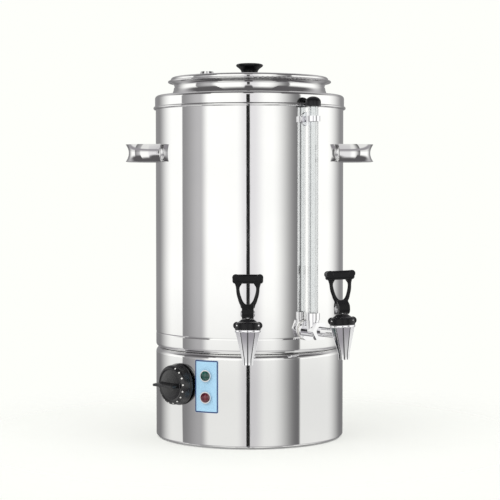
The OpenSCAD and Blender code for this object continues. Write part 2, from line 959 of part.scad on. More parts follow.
module outer_shell() {
    path = concat(
        [[body_r - shell_flange_w, shell_z]],
        arc(body_r - shell_bend, shell_z + shell_bend, shell_bend, -90, 0),
        [
            [body_r, groove_z - groove_half], [body_r - groove_depth, groove_z],
            [body_r, groove_z + groove_half], [body_r, shell_top]
        ]
    );
    color(steel)
        difference() {
            union() {
                spun_sheet(path);
                intersection() {
                    radial_cylinder(side_az, side_tap_z, ferrule_d, body_r - boss_len, body_r);
                    translate([0, 0, side_tap_z - ferrule_d])
                        cylinder(r = body_r - sheet_t / 2, h = 2 * ferrule_d);
                }
            }
            radial_cylinder(side_az, side_tap_z, shank_d + 2 * seat_gap, body_r / 2, body_r + 1);
            radial_cylinder(front_az, tap_z, shank_d + 2 * slip_gap, body_r / 2, body_r + 1);
            well_place()
                translate([0, 0, shell_z - 1])
                    cylinder(d = well_cut_d, h = sheet_t + 1);
        }
}

module leg_places() {
    for (x = [-leg_x, leg_x])
        translate([x, leg_y, 0])
            children();
}

module tank_bottom() {
    color(dull_steel)
        difference() {
            union() {
                translate([0, 0, tank_z])
                    cylinder(r = tank_r, h = sheet_t);
                well_place()
                    translate([0, 0, tank_z])
                        cylinder(d = well_d, h = well_h);
            }
            well_place()
                translate([0, 0, tank_z - 1])
                    cylinder(d = bulb_d + 2 * bulb_gap, h = well_h);
            leg_places()
                translate([0, 0, tank_z - 1])
                    cylinder(d = element_d + 2 * slip_gap, h = sheet_t + 2);
        }
}

module top_collar() {
    bead_z = collar_top - collar_h + collar_bead;
    path = concat(
        [[collar_r, bead_z - collar_bead]],
        arc(collar_r, bead_z, collar_bead, -60, 60),
        [[collar_r, bead_z + collar_bead]],
        arc(collar_r - collar_bend, collar_top - collar_bend, collar_bend, 0, 90),
        [[pot_r + seat_gap, collar_top]]
    );
    color(steel)
        spun_sheet(path);
}

module neck_ring() {
    foot_h = 1;
    base_z = collar_top + seat_gap;
    foot_z = base_z + foot_h;
    in_r = pot_r + seat_gap;
    top_r = in_r + sheet_t;
    side_steps = 8;
    sweep = [
        for (i = [0:side_steps])
            let (s = i / side_steps)
            [top_r + (neck_ring_w - sheet_t) * (1 - sin(90 * s)), foot_z + (neck_ring_h - foot_h) * s]
    ];
    foot = [[in_r, base_z], [in_r + neck_ring_w, base_z]];
    color(steel)
        rotate_extrude()
            polygon(concat(foot, sweep, [[in_r, base_z + neck_ring_h]]));
}

module milk_pot() {
    wall_mid = pot_r - sheet_t / 2;
    ferrule_r = wall_in_r - groove_depth - slip_gap;
    path = concat(
        [[0, pot_z]],
        arc(pot_r - pot_bend, pot_z + pot_bend, pot_bend, -90, 0),
        arc(flare_x, flare_z, flare_r, 180, 90, 12)
    );
    color(steel)
        difference() {
            union() {
                spun_sheet(path);
                rotate_extrude()
                    translate([flare_x + rim_bead_d / 4, flare_z + flare_r + sheet_t / 2])
                        circle(d = rim_bead_d, $fn = 24);
                difference() {
                    intersection() {
                        radial_cylinder(front_az, tap_z, ferrule_d, pot_r / 2, body_r);
                        translate([0, 0, tap_z - ferrule_d])
                            cylinder(r = ferrule_r, h = 2 * ferrule_d);
                    }
                    translate([0, 0, tap_z - 2 * ferrule_d])
                        cylinder(r = wall_mid, h = 4 * ferrule_d);
                }
            }
            radial_cylinder(front_az, tap_z, shank_bore, pot_r / 2, body_r);
            radial_cylinder(front_az, tap_z, shank_d + 2 * seat_gap, pot_r + ferrule_end, body_r);
        }
}

module heating_element() {
    collar_z = tank_floor + seal_t + 2 * seat_gap;
    color("dimgray") {
        rotate([0, 0, 90 + element_half_gap])
            rotate_extrude(angle = 360 - 2 * element_half_gap)
                translate([element_r, element_z])
                    circle(d = element_d, $fn = 48);
        leg_places() {
            translate([0, 0, element_z])
                sphere(d = element_d + 1);
            translate([0, 0, leg_bottom])
                cylinder(d = element_d, h = element_z - leg_bottom);
            translate([0, 0, collar_z])
                cylinder(d = leg_collar_d, h = element_gap - seal_t);
        }
    }
}

module element_nuts() {
    color(brass)
        leg_places()
            translate([0, 0, tank_z - seat_gap - element_nut_h])
                hex_nut(element_nut_w, element_d + 2 * seat_gap, element_nut_h);
}

module element_seals() {
    color(silicone)
        leg_places()
            translate([0, 0, tank_floor + seat_gap])
                ring(leg_collar_d, element_d + 2 * seat_gap, seal_t);
}

// Lid

// Height of the lid's dome at a distance from its centre
function dome_z(r) =
    lid_top - lid_dome * (pow(r, 2) - pow(knob_seat_r, 2)) / (pow(lid_flat_r, 2) - pow(knob_seat_r, 2));

module lid() {
    dome_steps = 10;
    dome = [
        for (i = [0:dome_steps])
            let (r = lid_flat_r + (knob_seat_r - lid_flat_r) * i / dome_steps)
            [r, dome_z(r)]
    ];
    path = concat(
        [[lid_r, lid_z]],
        arc(lid_r - lid_bend, lid_shoulder_z - lid_bend, lid_bend, 0, 80),
        dome,
        [[0, lid_top]]
    );
    ring_top = dome_z(lid_ring_r) - sheet_t / 2;
    ring_z = lid_z - lid_ring_h;
    vent_z = dome_z(vent_r);
    vent_hole_d = 3;
    color(steel)
        difference() {
            union() {
                spun_sheet(path);
                translate([0, 0, ring_z])
                    ring(2 * lid_ring_r, 2 * (lid_ring_r - sheet_t), ring_top - ring_z);
                at_azimuth(dial_az)
                    translate([0, -vent_r, vent_z - sheet_t / 2])
                        cylinder(d1 = vent_d, d2 = vent_d - 2, h = vent_rise + sheet_t / 2);
            }
            at_azimuth(dial_az)
                translate([0, -vent_r, vent_z])
                    for (a = [0:60:300])
                        rotate([0, 0, a])
                            translate([vent_d / 4, 0, -vent_rise - 2])
                                cylinder(d = vent_hole_d, h = 3 * vent_rise + 4);
            translate([0, 0, lid_z])
                cylinder(d = knob_screw_d + 2 * slip_gap, h = lid_edge_h + lid_dome + 1);
        }
}

module lid_knob() {
    knob_r = knob_d / 2;
    foot_r = knob_foot_d / 2;
    edge = 1.5;
    waist_r = foot_r - 1;
    flare = knob_r - foot_r;
    color(plastic)
        translate([0, 0, lid_top + seat_gap])
            difference() {
                rotate_extrude()
                    polygon(concat(
                        [[0, 0], [foot_r, 0], [foot_r, knob_h * 0.08], [waist_r, knob_h * 0.2]],
                        [[foot_r, knob_h * 0.38], [foot_r + flare * 0.3, knob_h * 0.52]],
                        [[foot_r + flare * 0.68, knob_h * 0.64]],
                        arc(knob_r - edge, knob_h - 2 - edge, edge, -60, 70, 6),
                        [[knob_r * 0.5, knob_h], [0, knob_h]]
                    ));
                translate([0, 0, -1])
                    cylinder(d = knob_screw_d + 2 * seat_gap, h = knob_screw_depth + 2);
            }
}

module lid_screw() {
    head_top = lid_top - sheet_t - seat_gap - 0.1;
    color(dull_steel) {
        translate([0, 0, head_top - knob_screw_head_h])
            cylinder(d = knob_screw_head_d, h = knob_screw_head_h);
        translate([0, 0, head_top - 1])
            cylinder(d = knob_screw_d, h = sheet_t + knob_screw_depth);
    }
}

// Handles

handle_z = collar_top - handle_drop;
leg_face_r = body_r + rosette_t + seat_gap;
handle_side = asin(handle_span / 2 / (body_r + rosette_t / 2));

module oblong(w, h) {
    square([w, h - w], center = true);
    for (y = [-1, 1])
        translate([0, y * (h - w) / 2])
            circle(d = w);
}

// A U-shaped bar of oblong section, with its two legs along X
module bow(w, h) {
    grip_x = body_r + handle_reach - handle_tube_w / 2;
    bend_x = grip_x - handle_bend;
    bend_y = handle_span / 2 - handle_bend;
    root_x = body_r * 0.6;
    for (side = [-1, 1])
        translate([root_x, side * handle_span / 2, 0])
            rotate([90, 0, 90])
                linear_extrude(height = bend_x - root_x)
                    oblong(w, h);
    translate([bend_x, bend_y, 0])
        rotate_extrude(angle = 90)
            translate([handle_bend, 0])
                oblong(w, h);
    translate([bend_x, -bend_y, 0])
        rotate([0, 0, -90])
            rotate_extrude(angle = 90)
                translate([handle_bend, 0])
                    oblong(w, h);
    translate([grip_x, bend_y, 0])
        rotate([90, 0, 0])
            linear_extrude(height = 2 * bend_y)
                oblong(w, h);
}

module side_handle() {
    difference() {
        translate([0, 0, handle_z])
            bow(handle_tube_w, handle_tube_h);
        translate([0, 0, handle_z])
            bow(handle_tube_w - 2 * handle_wall, handle_tube_h - 2 * handle_wall);
        translate([0, 0, handle_z - handle_tube_h])
            cylinder(r = leg_face_r, h = 2 * handle_tube_h);
    }
}

module right_handle() {
    color(steel)
        side_handle();
}

module left_handle() {
    color(steel)
        mirror([1, 0, 0])
            side_handle();
}

module handle_rosettes() {
    color(steel)
        for (side = [-90, 90], turn = [-handle_side, handle_side])
            intersection() {
                radial_cylinder(side + turn, handle_z, rosette_d, body_r / 2, body_r * 1.5);
                translate([0, 0, handle_z - rosette_d])
                    ring(2 * (body_r + rosette_t), 2 * (body_r + seat_gap), 2 * rosette_d);
            }
}

// Taps, built in a frame at a tap's column: X sideways, Y towards the tank, Z up the column

function shank_z(az) = az == side_az ? side_tap_z : tap_z;

module tap_place(az) {
    at_azimuth(az)
        translate([0, -tap_r, shank_z(az)])
            children();
}

module column(az) {
    tap_place(az)
        rotate([-tap_lean, 0, 0])
            children();
}

// The frame of a tap's stem and lever, which turn freely in the bonnet
module lever_place(az) {
    column(az)
        rotate([0, 0, az == side_az ? side_lever_turn : 0])
            children();
}

module across(d, w) {
    rotate([0, 90, 0])
        cylinder(d = d, h = w, center = true);
}

module tap_shank(d, length) {
    rotate([-90, 0, 0])
        cylinder(d = d, h = length);
}

module tap_body(az, shank_len) {
    rim_d = cup_d - 1;
    band_h = 2;
    flute_h = cup_up - band_h / 2 + nozzle_drop - tip_h;
    difference() {
        union() {
            column(az) {
                translate([0, 0, tip_h - nozzle_drop])
                    rotate([0, 0, 180 / flat_count])
                        cylinder(d1 = nozzle_d + 0.8, d2 = cup_d, h = flute_h, $fn = flat_count);
                translate([0, 0, cup_up - band_h])
                    cylinder(d = rim_d, h = band_h);
                translate([0, 0, -nozzle_drop])
                    cylinder(d = nozzle_d, h = tip_h + 1);
            }
            tap_place(az)
                tap_shank(shank_d, shank_len);
        }
        column(az) {
            translate([0, 0, -seat_drop])
                cylinder(d = chamber_d, h = seat_drop + cup_up + 1);
            translate([0, 0, spigot_floor_t])
                cylinder(d = spigot_bore_d, h = cup_up);
            translate([0, 0, -nozzle_drop - 1])
                cylinder(d = nozzle_bore, h = nozzle_drop);
        }
        tap_place(az)
            tap_shank(shank_bore, shank_len + 1);
    }
}

// A cylinder from front to back at each eyelet of a bonnet
module eyelet_places(d, depth) {
    for (side = [-1, 1])
        translate([side * (eyelet_span - eyelet_d) / 2, 0, bonnet_t + 0.7 + eyelet_d / 2])
            rotate([90, 0, 0])
                cylinder(d = d, h = depth, center = true);
}

module tap_bonnet(az, turn) {
    eyelet_depth = 7;
    column(az)
        rotate([0, 0, turn])
            difference() {
                union() {
                    translate([0, 0, bonnet_t])
                        cylinder(d = bonnet_d, h = bonnet_h);
                    translate([0, 0, cone_t])
                        cylinder(d1 = bonnet_d - 4, d2 = bonnet_top_d, h = bonnet_cone_h);
                    translate([0, 0, bonnet_foot_t])
                        cylinder(d = spigot_bore_d - 2 * seat_gap, h = bonnet_t + 1 - bonnet_foot_t);
                    eyelet_places(eyelet_d, eyelet_depth);
                }
                translate([0, 0, bonnet_foot_t - 1])
                    cylinder(d = spring_recess_d, h = spring_top_t - bonnet_foot_t + 1);
                cylinder(d = stem_bore_d, h = 2 * bonnet_top_t);
                eyelet_places(eyelet_hole_d, 2 * bonnet_d);
            }
}

module valve_stem(az) {
    lever_place(az)
        difference() {
            union() {
                translate([0, 0, stem_foot_t])
                    cylinder(d = stem_d, h = pin_t - stem_foot_t);
                translate([0, 0, pin_t])
                    across(eye_d, eye_w);
            }
            translate([0, 0, pin_t])
                across(pin_d + 2 * run_gap, 2 * eye_w);
        }
}

module valve_cup(az) {
    lip_d = nozzle_bore - 2;
    column(az)
        difference() {
            translate([0, 0, valve_t])
                cylinder(d = valve_d, h = valve_h);
            translate([0, 0, stem_foot_t])
                cylinder(d = stem_d, h = 2 * valve_h);
            translate([0, 0, valve_t - 1])
                cylinder(d = lip_d, h = 2);
        }
}

// The spring's wire, wound from the valve cup up to the bonnet
function spring_point(share, low, high) =
    let (a = 360 * spring_turns * share, r = spring_d / 2)
    [r * cos(a), r * sin(a), low + (high - low) * share];

module valve_spring(az) {
    steps = 8 * spring_turns;
    low = valve_top_t + spring_wire / 2 + 0.1;
    high = spring_top_t - spring_wire / 2 - 0.1;
    column(az)
        swept_tube([for (i = [0:steps]) spring_point(i / steps, low, high)], spring_wire, 6);
}

// Half the width of the lever's ring at a share of its height
function ring_half(share) = neck_w / 2 + (ring_w - neck_w) / 2 * sin(90 * share);

module lever_outline() {
    steps = 16;
    ring_h = hole_web + hole_h;
    top = ring_up + ring_h + 2;
    crown = 6;
    side = [for (i = [0:steps]) [ring_half(i / steps), ring_up + ring_h * i / steps]];
    right = concat(side, [[ring_half(1), top]]);
    left = [for (p = reversed(right)) [-p[0], p[1]]];
    low = ring_up + hole_web;
    straight = hole_h - crown;
    hole_right = [
        for (i = [0:steps])
            let (s = i / steps)
            [hole_w / 2 * pow(sin(90 * s), 0.6), low + straight * s]
    ];
    hole_top = [for (a = [15:15:165]) [hole_w / 2 * cos(a), low + straight + crown * sin(a)]];
    hole_left = [for (i = [steps:-1:1]) [-hole_right[i][0], hole_right[i][1]]];
    difference() {
        union() {
            polygon(concat(right, left));
            translate([-neck_w / 2, 0])
                square([neck_w, ring_up + 0.5]);
        }
        polygon(concat(hole_right, hole_top, hole_left));
    }
}

// Room inside the lever for the stem and its eye, over the lever's whole swing, in the Y-Z plane
module stem_room() {
    half = stem_d / 2 + slip_gap;
    reach = 4 * cam_r;
    swing = lever_open + 2;
    circle(d = eye_d + 3);
    polygon([
        [half, 0], [half, -reach],
        [-half * cos(swing) - reach * sin(swing), half * sin(swing) - reach * cos(swing)],
        [-half * cos(swing), half * sin(swing)]
    ]);
}

// Side of the lever's block: its front is the cam, and its flat heel lies over the bonnet
module lever_block() {
    front = cam_offset + cam_r;
    heel_z = 0.1 - cam_r;
    slope_top = block_up + (front - lever_t / 2);
    polygon([
        [-cam_offset, heel_z], [heel_back, heel_z], [heel_back, block_up], [lever_t / 2, slope_top],
        [-lever_t / 2, slope_top], [-front, block_up], [-front, 0], [-cam_offset, 0]
    ]);
}

module tap_lever(az) {
    bar_end = bar_w / 2 - bar_d / 2;
    pin_boss_d = 2 * cam_r - 2;
    lever_place(az)
        translate([0, 0, pin_t])
            difference() {
                union() {
                    translate([0, lever_t / 2, 0])
                        rotate([90, 0, 0])
                            linear_extrude(height = lever_t)
                                lever_outline();
                    translate([0, 0, bar_t]) {
                        across(bar_d, 2 * bar_end);
                        for (side = [-1, 1])
                            translate([side * bar_end, 0, 0])
                                sphere(d = bar_d);
                    }
                    translate([0, -cam_offset, 0])
                        across(2 * cam_r, neck_w);
                    across(pin_boss_d, neck_w);
                    rotate([90, 0, 90])
                        linear_extrude(height = neck_w, center = true)
                            lever_block();
                }
                across(pin_d, 2 * neck_w);
                rotate([90, 0, 90])
                    linear_extrude(height = slot_w, center = true)
                        stem_room();
            }
}

// The pin with a domed head on each side of the lever's neck
module lever_pin(az) {
    head_x = neck_w / 2 + seat_gap;
    dome = pin_head_h - 2;
    dome_r = (pow(pin_head_d / 2, 2) + dome * dome) / (2 * dome);
    lever_place(az)
        translate([0, 0, pin_t]) {
            across(pin_d, 2 * head_x + 1);
            for (side = [-1, 1])
                rotate([0, side * 90, 0])
                    translate([0, 0, head_x])
                        intersection() {
                            cylinder(d = pin_head_d, h = pin_head_h);
                            translate([0, 0, pin_head_h - dome_r])
                                sphere(r = dome_r);
                        }
        }
}

// A gasket that fits the round wall of the tank
module wall_gasket(az) {
    difference() {
        radial_cylinder(az, shank_z(az), flange_d, body_r * 0.9, body_r + gasket_t);
        translate([0, 0, shank_z(az) - flange_d])
            cylinder(r = body_r + seat_gap, h = 2 * flange_d, $fn = 720);
        radial_cylinder(az, shank_z(az), shank_d + 2 * seat_gap, body_r / 2, body_r + 2 * gasket_t);
    }
}

module front_tap_body() {
    color(chrome)
        tap_body(front_az, tap_r - pot_r - ferrule_end - seat_gap);
}

module front_tap_bonnet() {
    color(plastic)
        tap_bonnet(front_az, 0);
}

module front_tap_flange() {
    color(chrome)
        facing_out(front_az, flange_r, tap_z)
            ring(flange_d, shank_d + 2 * seat_gap, flange_t);
}

module front_tap_gasket() {
    color(silicone)
        wall_gasket(front_az);
}

module front_tap_lever() {
    color(plastic)
        tap_lever(front_az);
}

module front_lever_pin() {
    color(dull_steel)
        lever_pin(front_az);
}

module front_valve_stem() {
    color(dull_steel)
        valve_stem(front_az);
}

module front_valve_cup() {
    color(silicone)
        valve_cup(front_az);
}

module front_valve_spring() {
    color(dull_steel)
        valve_spring(front_az);
}

module side_tap_body() {
    color(chrome)
        tap_body(side_az, tap_r - tee_end_r + tee_socket - seat_gap);
}

module side_tap_bonnet() {
    color(plastic)
        tap_bonnet(side_az, side_bonnet_turn);
}

module side_tap_lock_nut() {
    color(chrome)
        facing_out(side_az, tee_end_r + seat_gap, side_tap_z)
            hex_nut(lock_nut_w, shank_d + 2 * seat_gap, lock_nut_t);
}

module side_tap_gasket() {
    color(silicone)
        wall_gasket(side_az);
}

module side_tap_lever() {
    color(plastic)
        tap_lever(side_az);
}

module side_lever_pin() {
    color(dull_steel)
        lever_pin(side_az);
}

module side_valve_stem() {
    color(dull_steel)
        valve_stem(side_az);
}

module side_valve_cup() {
    color(silicone)
        valve_cup(side_az);
}

module side_valve_spring() {
    color(dull_steel)
        valve_spring(side_az);
}

// Sight glass

module gauge_place(z) {
    at_azimuth(side_az)
        translate([0, -gauge_r, z])
            children();
}

module gauge_tee() {
    spigot_r0 = body_r - boss_len + 1;
    socket_d = shank_d + 2 * seat_gap;
    glass_hole_d = glass_d + 2 * seat_gap;
    feed_d = glass_d - 2 * glass_wall;
    color(chrome)
        difference() {
            union() {
                radial_cylinder(side_az, side_tap_z, tee_d, flange_r, tee_end_r);
                radial_cylinder(side_az, side_tap_z, flange_d, flange_r, flange_r + flange_t);
                radial_cylinder(side_az, side_tap_z, shank_d, spigot_r0, flange_r + 1);
                gauge_place(side_tap_z)
                    cylinder(d = tee_d, h = tee_rise);
            }
            radial_cylinder(side_az, side_tap_z, shank_bore, spigot_r0 - 1, tee_end_r + 1);
            radial_cylinder(side_az, side_tap_z, socket_d, tee_end_r - tee_socket, tee_end_r + 1);
            gauge_place(side_tap_z)
                cylinder(d = feed_d, h = 2 * tee_rise);
            gauge_place(glass_ledge)
                cylinder(d = glass_hole_d, h = tee_rise);
        }
}

module gauge_glass() {
    foot = glass_ledge + 1 + 2 * seat_gap;
    color("lightcyan", 0.5)
        gauge_place(foot)
            ring(glass_d, glass_d - 2 * glass_wall, glass_top - foot);
}

module gauge_nut() {
    color(chrome)
        gauge_place(side_tap_z + tee_rise + seat_gap)
            difference() {
                cylinder(d = glass_nut_d, h = glass_nut_h);
                translate([0, 0, -1])
                    cylinder(d = glass_d + 2 * seat_gap, h = glass_nut_h + 2);
                translate([0, 0, -1])
                    cylinder(d = glass_d + 3, h = 4);
            }
}

module gauge_seals() {
    color(silicone) {
        gauge_place(glass_ledge + seat_gap)
            ring(glass_d, glass_d - 2 * glass_wall, 1);
        gauge_place(side_tap_z + tee_rise + 2 * seat_gap)
            ring(glass_d + 3 - 2 * seat_gap, glass_d + 2 * seat_gap, 3 - 2 * seat_gap);
    }
}

module gauge_bracket() {
    z = collar_top - bracket_drop;
    ring_d = glass_d + 5;
    arm_d = bracket_h - 1;
    foot_d = 20;
    color(chrome)
        difference() {
            union() {
                intersection() {
                    radial_cylinder(side_az, z, foot_d, body_r / 2, gauge_r);
                    translate([0, 0, z - foot_d])
                        ring(2 * (body_r + 2), 2 * (body_r + seat_gap), 2 * foot_d);
                }
                radial_cylinder(side_az, z, arm_d, body_r + 1, gauge_r);
                gauge_place(z - bracket_h / 2)
                    cylinder(d = ring_d, h = bracket_h);
            }
            gauge_place(z - bracket_h)
                cylinder(d = glass_d + 2 * seat_gap, h = 2 * bracket_h);
        }
}

module gauge_cap() {
    cap_r = cap_d / 2;
    band = cap_h * 0.45;
    color(plastic)
        gauge_place(collar_top - cap_drop)
            difference() {
                rotate_extrude()
                    polygon(concat(
                        [[0, 0], [cap_r, 0]],
                        [for (a = [0:10:80]) [cap_r * cos(a), band + (cap_h - band) * sin(a)]],
                        [[0, cap_h]]
                    ));
                translate([0, 0, -1])
                    cylinder(d = glass_d + 2 * seat_gap, h = cap_h - 5 + 1 + seat_gap);
            }
}

foot_ring();
base_skirt();
bottom_plate();
bottom_screws();
base_deck();
base_studs();
cable_gland();
gland_nut();
terminal_block();
wiring();
thermostat_body();
thermostat_nut();
thermostat_shaft();
thermostat_dial();
capillary_sensor();
thermal_cutout();
reset_button();
control_plate();
lamp_bezels();
green_lamp_lens();
red_lamp_lens();
outer_shell();
tank_bottom();
top_collar();
neck_ring();
milk_pot();
heating_element();
element_nuts();
element_seals();
lid();
lid_knob();
lid_screw();
left_handle();
right_handle();
handle_rosettes();
gauge_tee();
gauge_glass();
gauge_nut();
gauge_seals();
gauge_bracket();
gauge_cap();
front_tap_body();
front_tap_bonnet();
front_tap_flange();
front_tap_gasket();
front_tap_lever();
front_lever_pin();
front_valve_stem();
front_valve_cup();
front_valve_spring();
side_tap_body();
side_tap_bonnet();
side_tap_lock_nut();
side_tap_gasket();
side_tap_lever();
side_lever_pin();
side_valve_stem();
side_valve_cup();
side_valve_spring();
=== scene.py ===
"""Dresses the milk boiler: steel tank, moulded levers and bonnets, dial, sight glass and studio."""

import json
import logging
import math
from dataclasses import dataclass
from enum import Enum
from typing import Callable, Iterable, Sequence

import bmesh
import bpy
from bpy.types import Material, Node, NodeSocket, NodeTree, Object
from mathutils import Matrix, Vector


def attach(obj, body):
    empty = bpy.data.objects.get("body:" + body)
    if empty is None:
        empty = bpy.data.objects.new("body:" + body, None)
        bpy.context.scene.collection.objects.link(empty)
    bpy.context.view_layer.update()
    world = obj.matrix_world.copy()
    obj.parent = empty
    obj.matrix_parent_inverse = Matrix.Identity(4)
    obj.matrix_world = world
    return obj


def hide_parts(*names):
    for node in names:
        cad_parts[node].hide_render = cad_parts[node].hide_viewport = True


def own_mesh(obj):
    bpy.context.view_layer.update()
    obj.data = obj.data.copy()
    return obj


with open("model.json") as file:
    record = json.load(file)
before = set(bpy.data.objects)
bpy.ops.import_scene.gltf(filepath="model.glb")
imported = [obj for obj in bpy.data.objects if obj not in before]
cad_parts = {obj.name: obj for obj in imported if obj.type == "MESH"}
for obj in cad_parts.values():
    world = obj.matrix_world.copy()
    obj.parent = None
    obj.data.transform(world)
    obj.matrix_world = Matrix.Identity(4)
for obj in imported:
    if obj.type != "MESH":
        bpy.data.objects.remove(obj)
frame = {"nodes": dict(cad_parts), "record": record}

log = logging.getLogger("milk_boiler")

MM = 0.001
NEAR = 1 * MM
TOUCHING = 1e-7
SEAM = 1e-6
SOFT_ANGLE = 40.0
CRISP_ANGLE = 25.0
ROUND_ANGLE = 50.0
QUARTER = math.pi / 2
Colour = tuple[float, float, float]
Point = tuple[float, float, float]
Span = tuple[float, float]
Profile = Sequence[tuple[float, float]]


class Body(Enum):
    """Moving bodies that a piece can ride on."""

    BOILER = "boiler"
    LID = "lid"
    FRONT_LEVER = "front_lever"
    SIDE_LEVER = "side_lever"
    DIAL = "dial"


class Slot(Enum):
    """Material slots of the record."""

    POLISHED_STEEL = "polished_steel"
    PLAIN_STEEL = "plain_steel"
    BRIGHT_CHROME = "bright_chrome"
    BLACK_PLASTIC = "black_plastic"
    GREY_RUBBER = "grey_rubber"
    PALE_SILICONE = "pale_silicone"
    CLEAR_GLASS = "clear_glass"
    BLUE_PLATE = "blue_plate"
    GREEN_LENS = "green_lens"
    RED_LENS = "red_lens"
    RED_BUTTON = "red_button"
    YELLOW_BRASS = "yellow_brass"
    CREAM_MOULDING = "cream_moulding"
    DARK_MOULDING = "dark_moulding"
    COPPER_TUBE = "copper_tube"
    ELEMENT_SHEATH = "element_sheath"
    RED_INSULATION = "red_insulation"


class Wiring:
    """Adds nodes to one node tree and joins them."""

    def __init__(self, tree: NodeTree) -> None:
        """Takes the tree that the nodes go into."""
        self.tree = tree

    def add(self, kind: str, settings: dict | None = None, **inputs: object) -> Node:
        """Adds a node.

        Args:
            kind: Node type without its ShaderNode prefix.
            settings: Properties of the node.
            inputs: Values or sockets for its inputs, named as feed takes them.

        Returns:
            The node.
        """
        node = self.tree.nodes.new(kind if kind.startswith("Node") else "ShaderNode" + kind)
        for key, value in (settings or {}).items():
            setattr(node, key, value)
        return self.feed(node, **inputs)

    def feed(self, node: Node, **inputs: object) -> Node:
        """Sets or links the inputs of a node.

        Args:
            node: Node of this tree.
            inputs: Values or sockets by an input's name, with _ for a space, or in0, in1 by place.

        Returns:
            The node.
        """
        for key, value in inputs.items():
            place = int(key[2:]) if key[:2] == "in" and key[2:].isdigit() else key.replace("_", " ")
            if isinstance(value, NodeSocket):
                self.tree.links.new(value, node.inputs[place])
            else:
                node.inputs[place].default_value = value
        return node

    def math(self, operation: str, a: object, b: object = 0.0, c: object = 0.0) -> NodeSocket:
        """Returns the result of a sum on up to three values or sockets."""
        return self.add("Math", {"operation": operation}, in0=a, in1=b, in2=c).outputs[0]

    def ramp(self, value: object, low: float, high: float, to: Span = (0.0, 1.0),
             smooth: bool = True) -> NodeSocket:
        """Moves a value from one range to another and holds it at the ends.

        Args:
            value: Value or socket.
            low: Start of its range.
            high: End of its range.
            to: Range that it is moved to.
            smooth: Whether it eases in and out.

        Returns:
            The moved value.
        """
        kind = "SMOOTHSTEP" if smooth else "LINEAR"
        return self.add("MapRange", {"interpolation_type": kind}, Value=value, From_Min=low, From_Max=high,
                        To_Min=to[0], To_Max=to[1]).outputs["Result"]

    def mix(self, factor: object, a: object, b: object, blend: str = "MIX") -> NodeSocket:
        """Mixes two colours.

        Args:
            factor: Share of the second one, as a value or a socket.
            a: First colour or socket.
            b: Second colour or socket.
            blend: Kind of mix.

        Returns:
            The mixed colour.
        """
        ends = [end if isinstance(end, NodeSocket) else (*end, 1.0) for end in (a, b)]
        return self.add("Mix", {"data_type": "RGBA", "blend_type": blend, "clamp_factor": True},
                        in0=factor, in6=ends[0], in7=ends[1]).outputs[2]

    def noise(self, vector: NodeSocket, scale: object, detail: float = 3.0) -> NodeSocket:
        """Returns the height of a noise texture."""
        return self.add("TexNoise", Vector=vector, Scale=scale, Detail=detail).outputs[0]

    def bump(self, height: NodeSocket, strength: float, distance: float) -> NodeSocket:
        """Returns the normal of a surface that a height presses in or out."""
        return self.add("Bump", Height=height, Strength=strength, Distance=distance).outputs[0]

    def stretched(self, vector: NodeSocket, scale: Point, turn: Point = (0, 0, 0)) -> NodeSocket:
        """Returns coordinates turned and stretched."""
        return self.add("Mapping", Vector=vector, Rotation=turn, Scale=scale).outputs[0]

    def object_place(self) -> NodeSocket:
        """Returns the coordinates of the object."""
        return self.add("TexCoord").outputs["Object"]


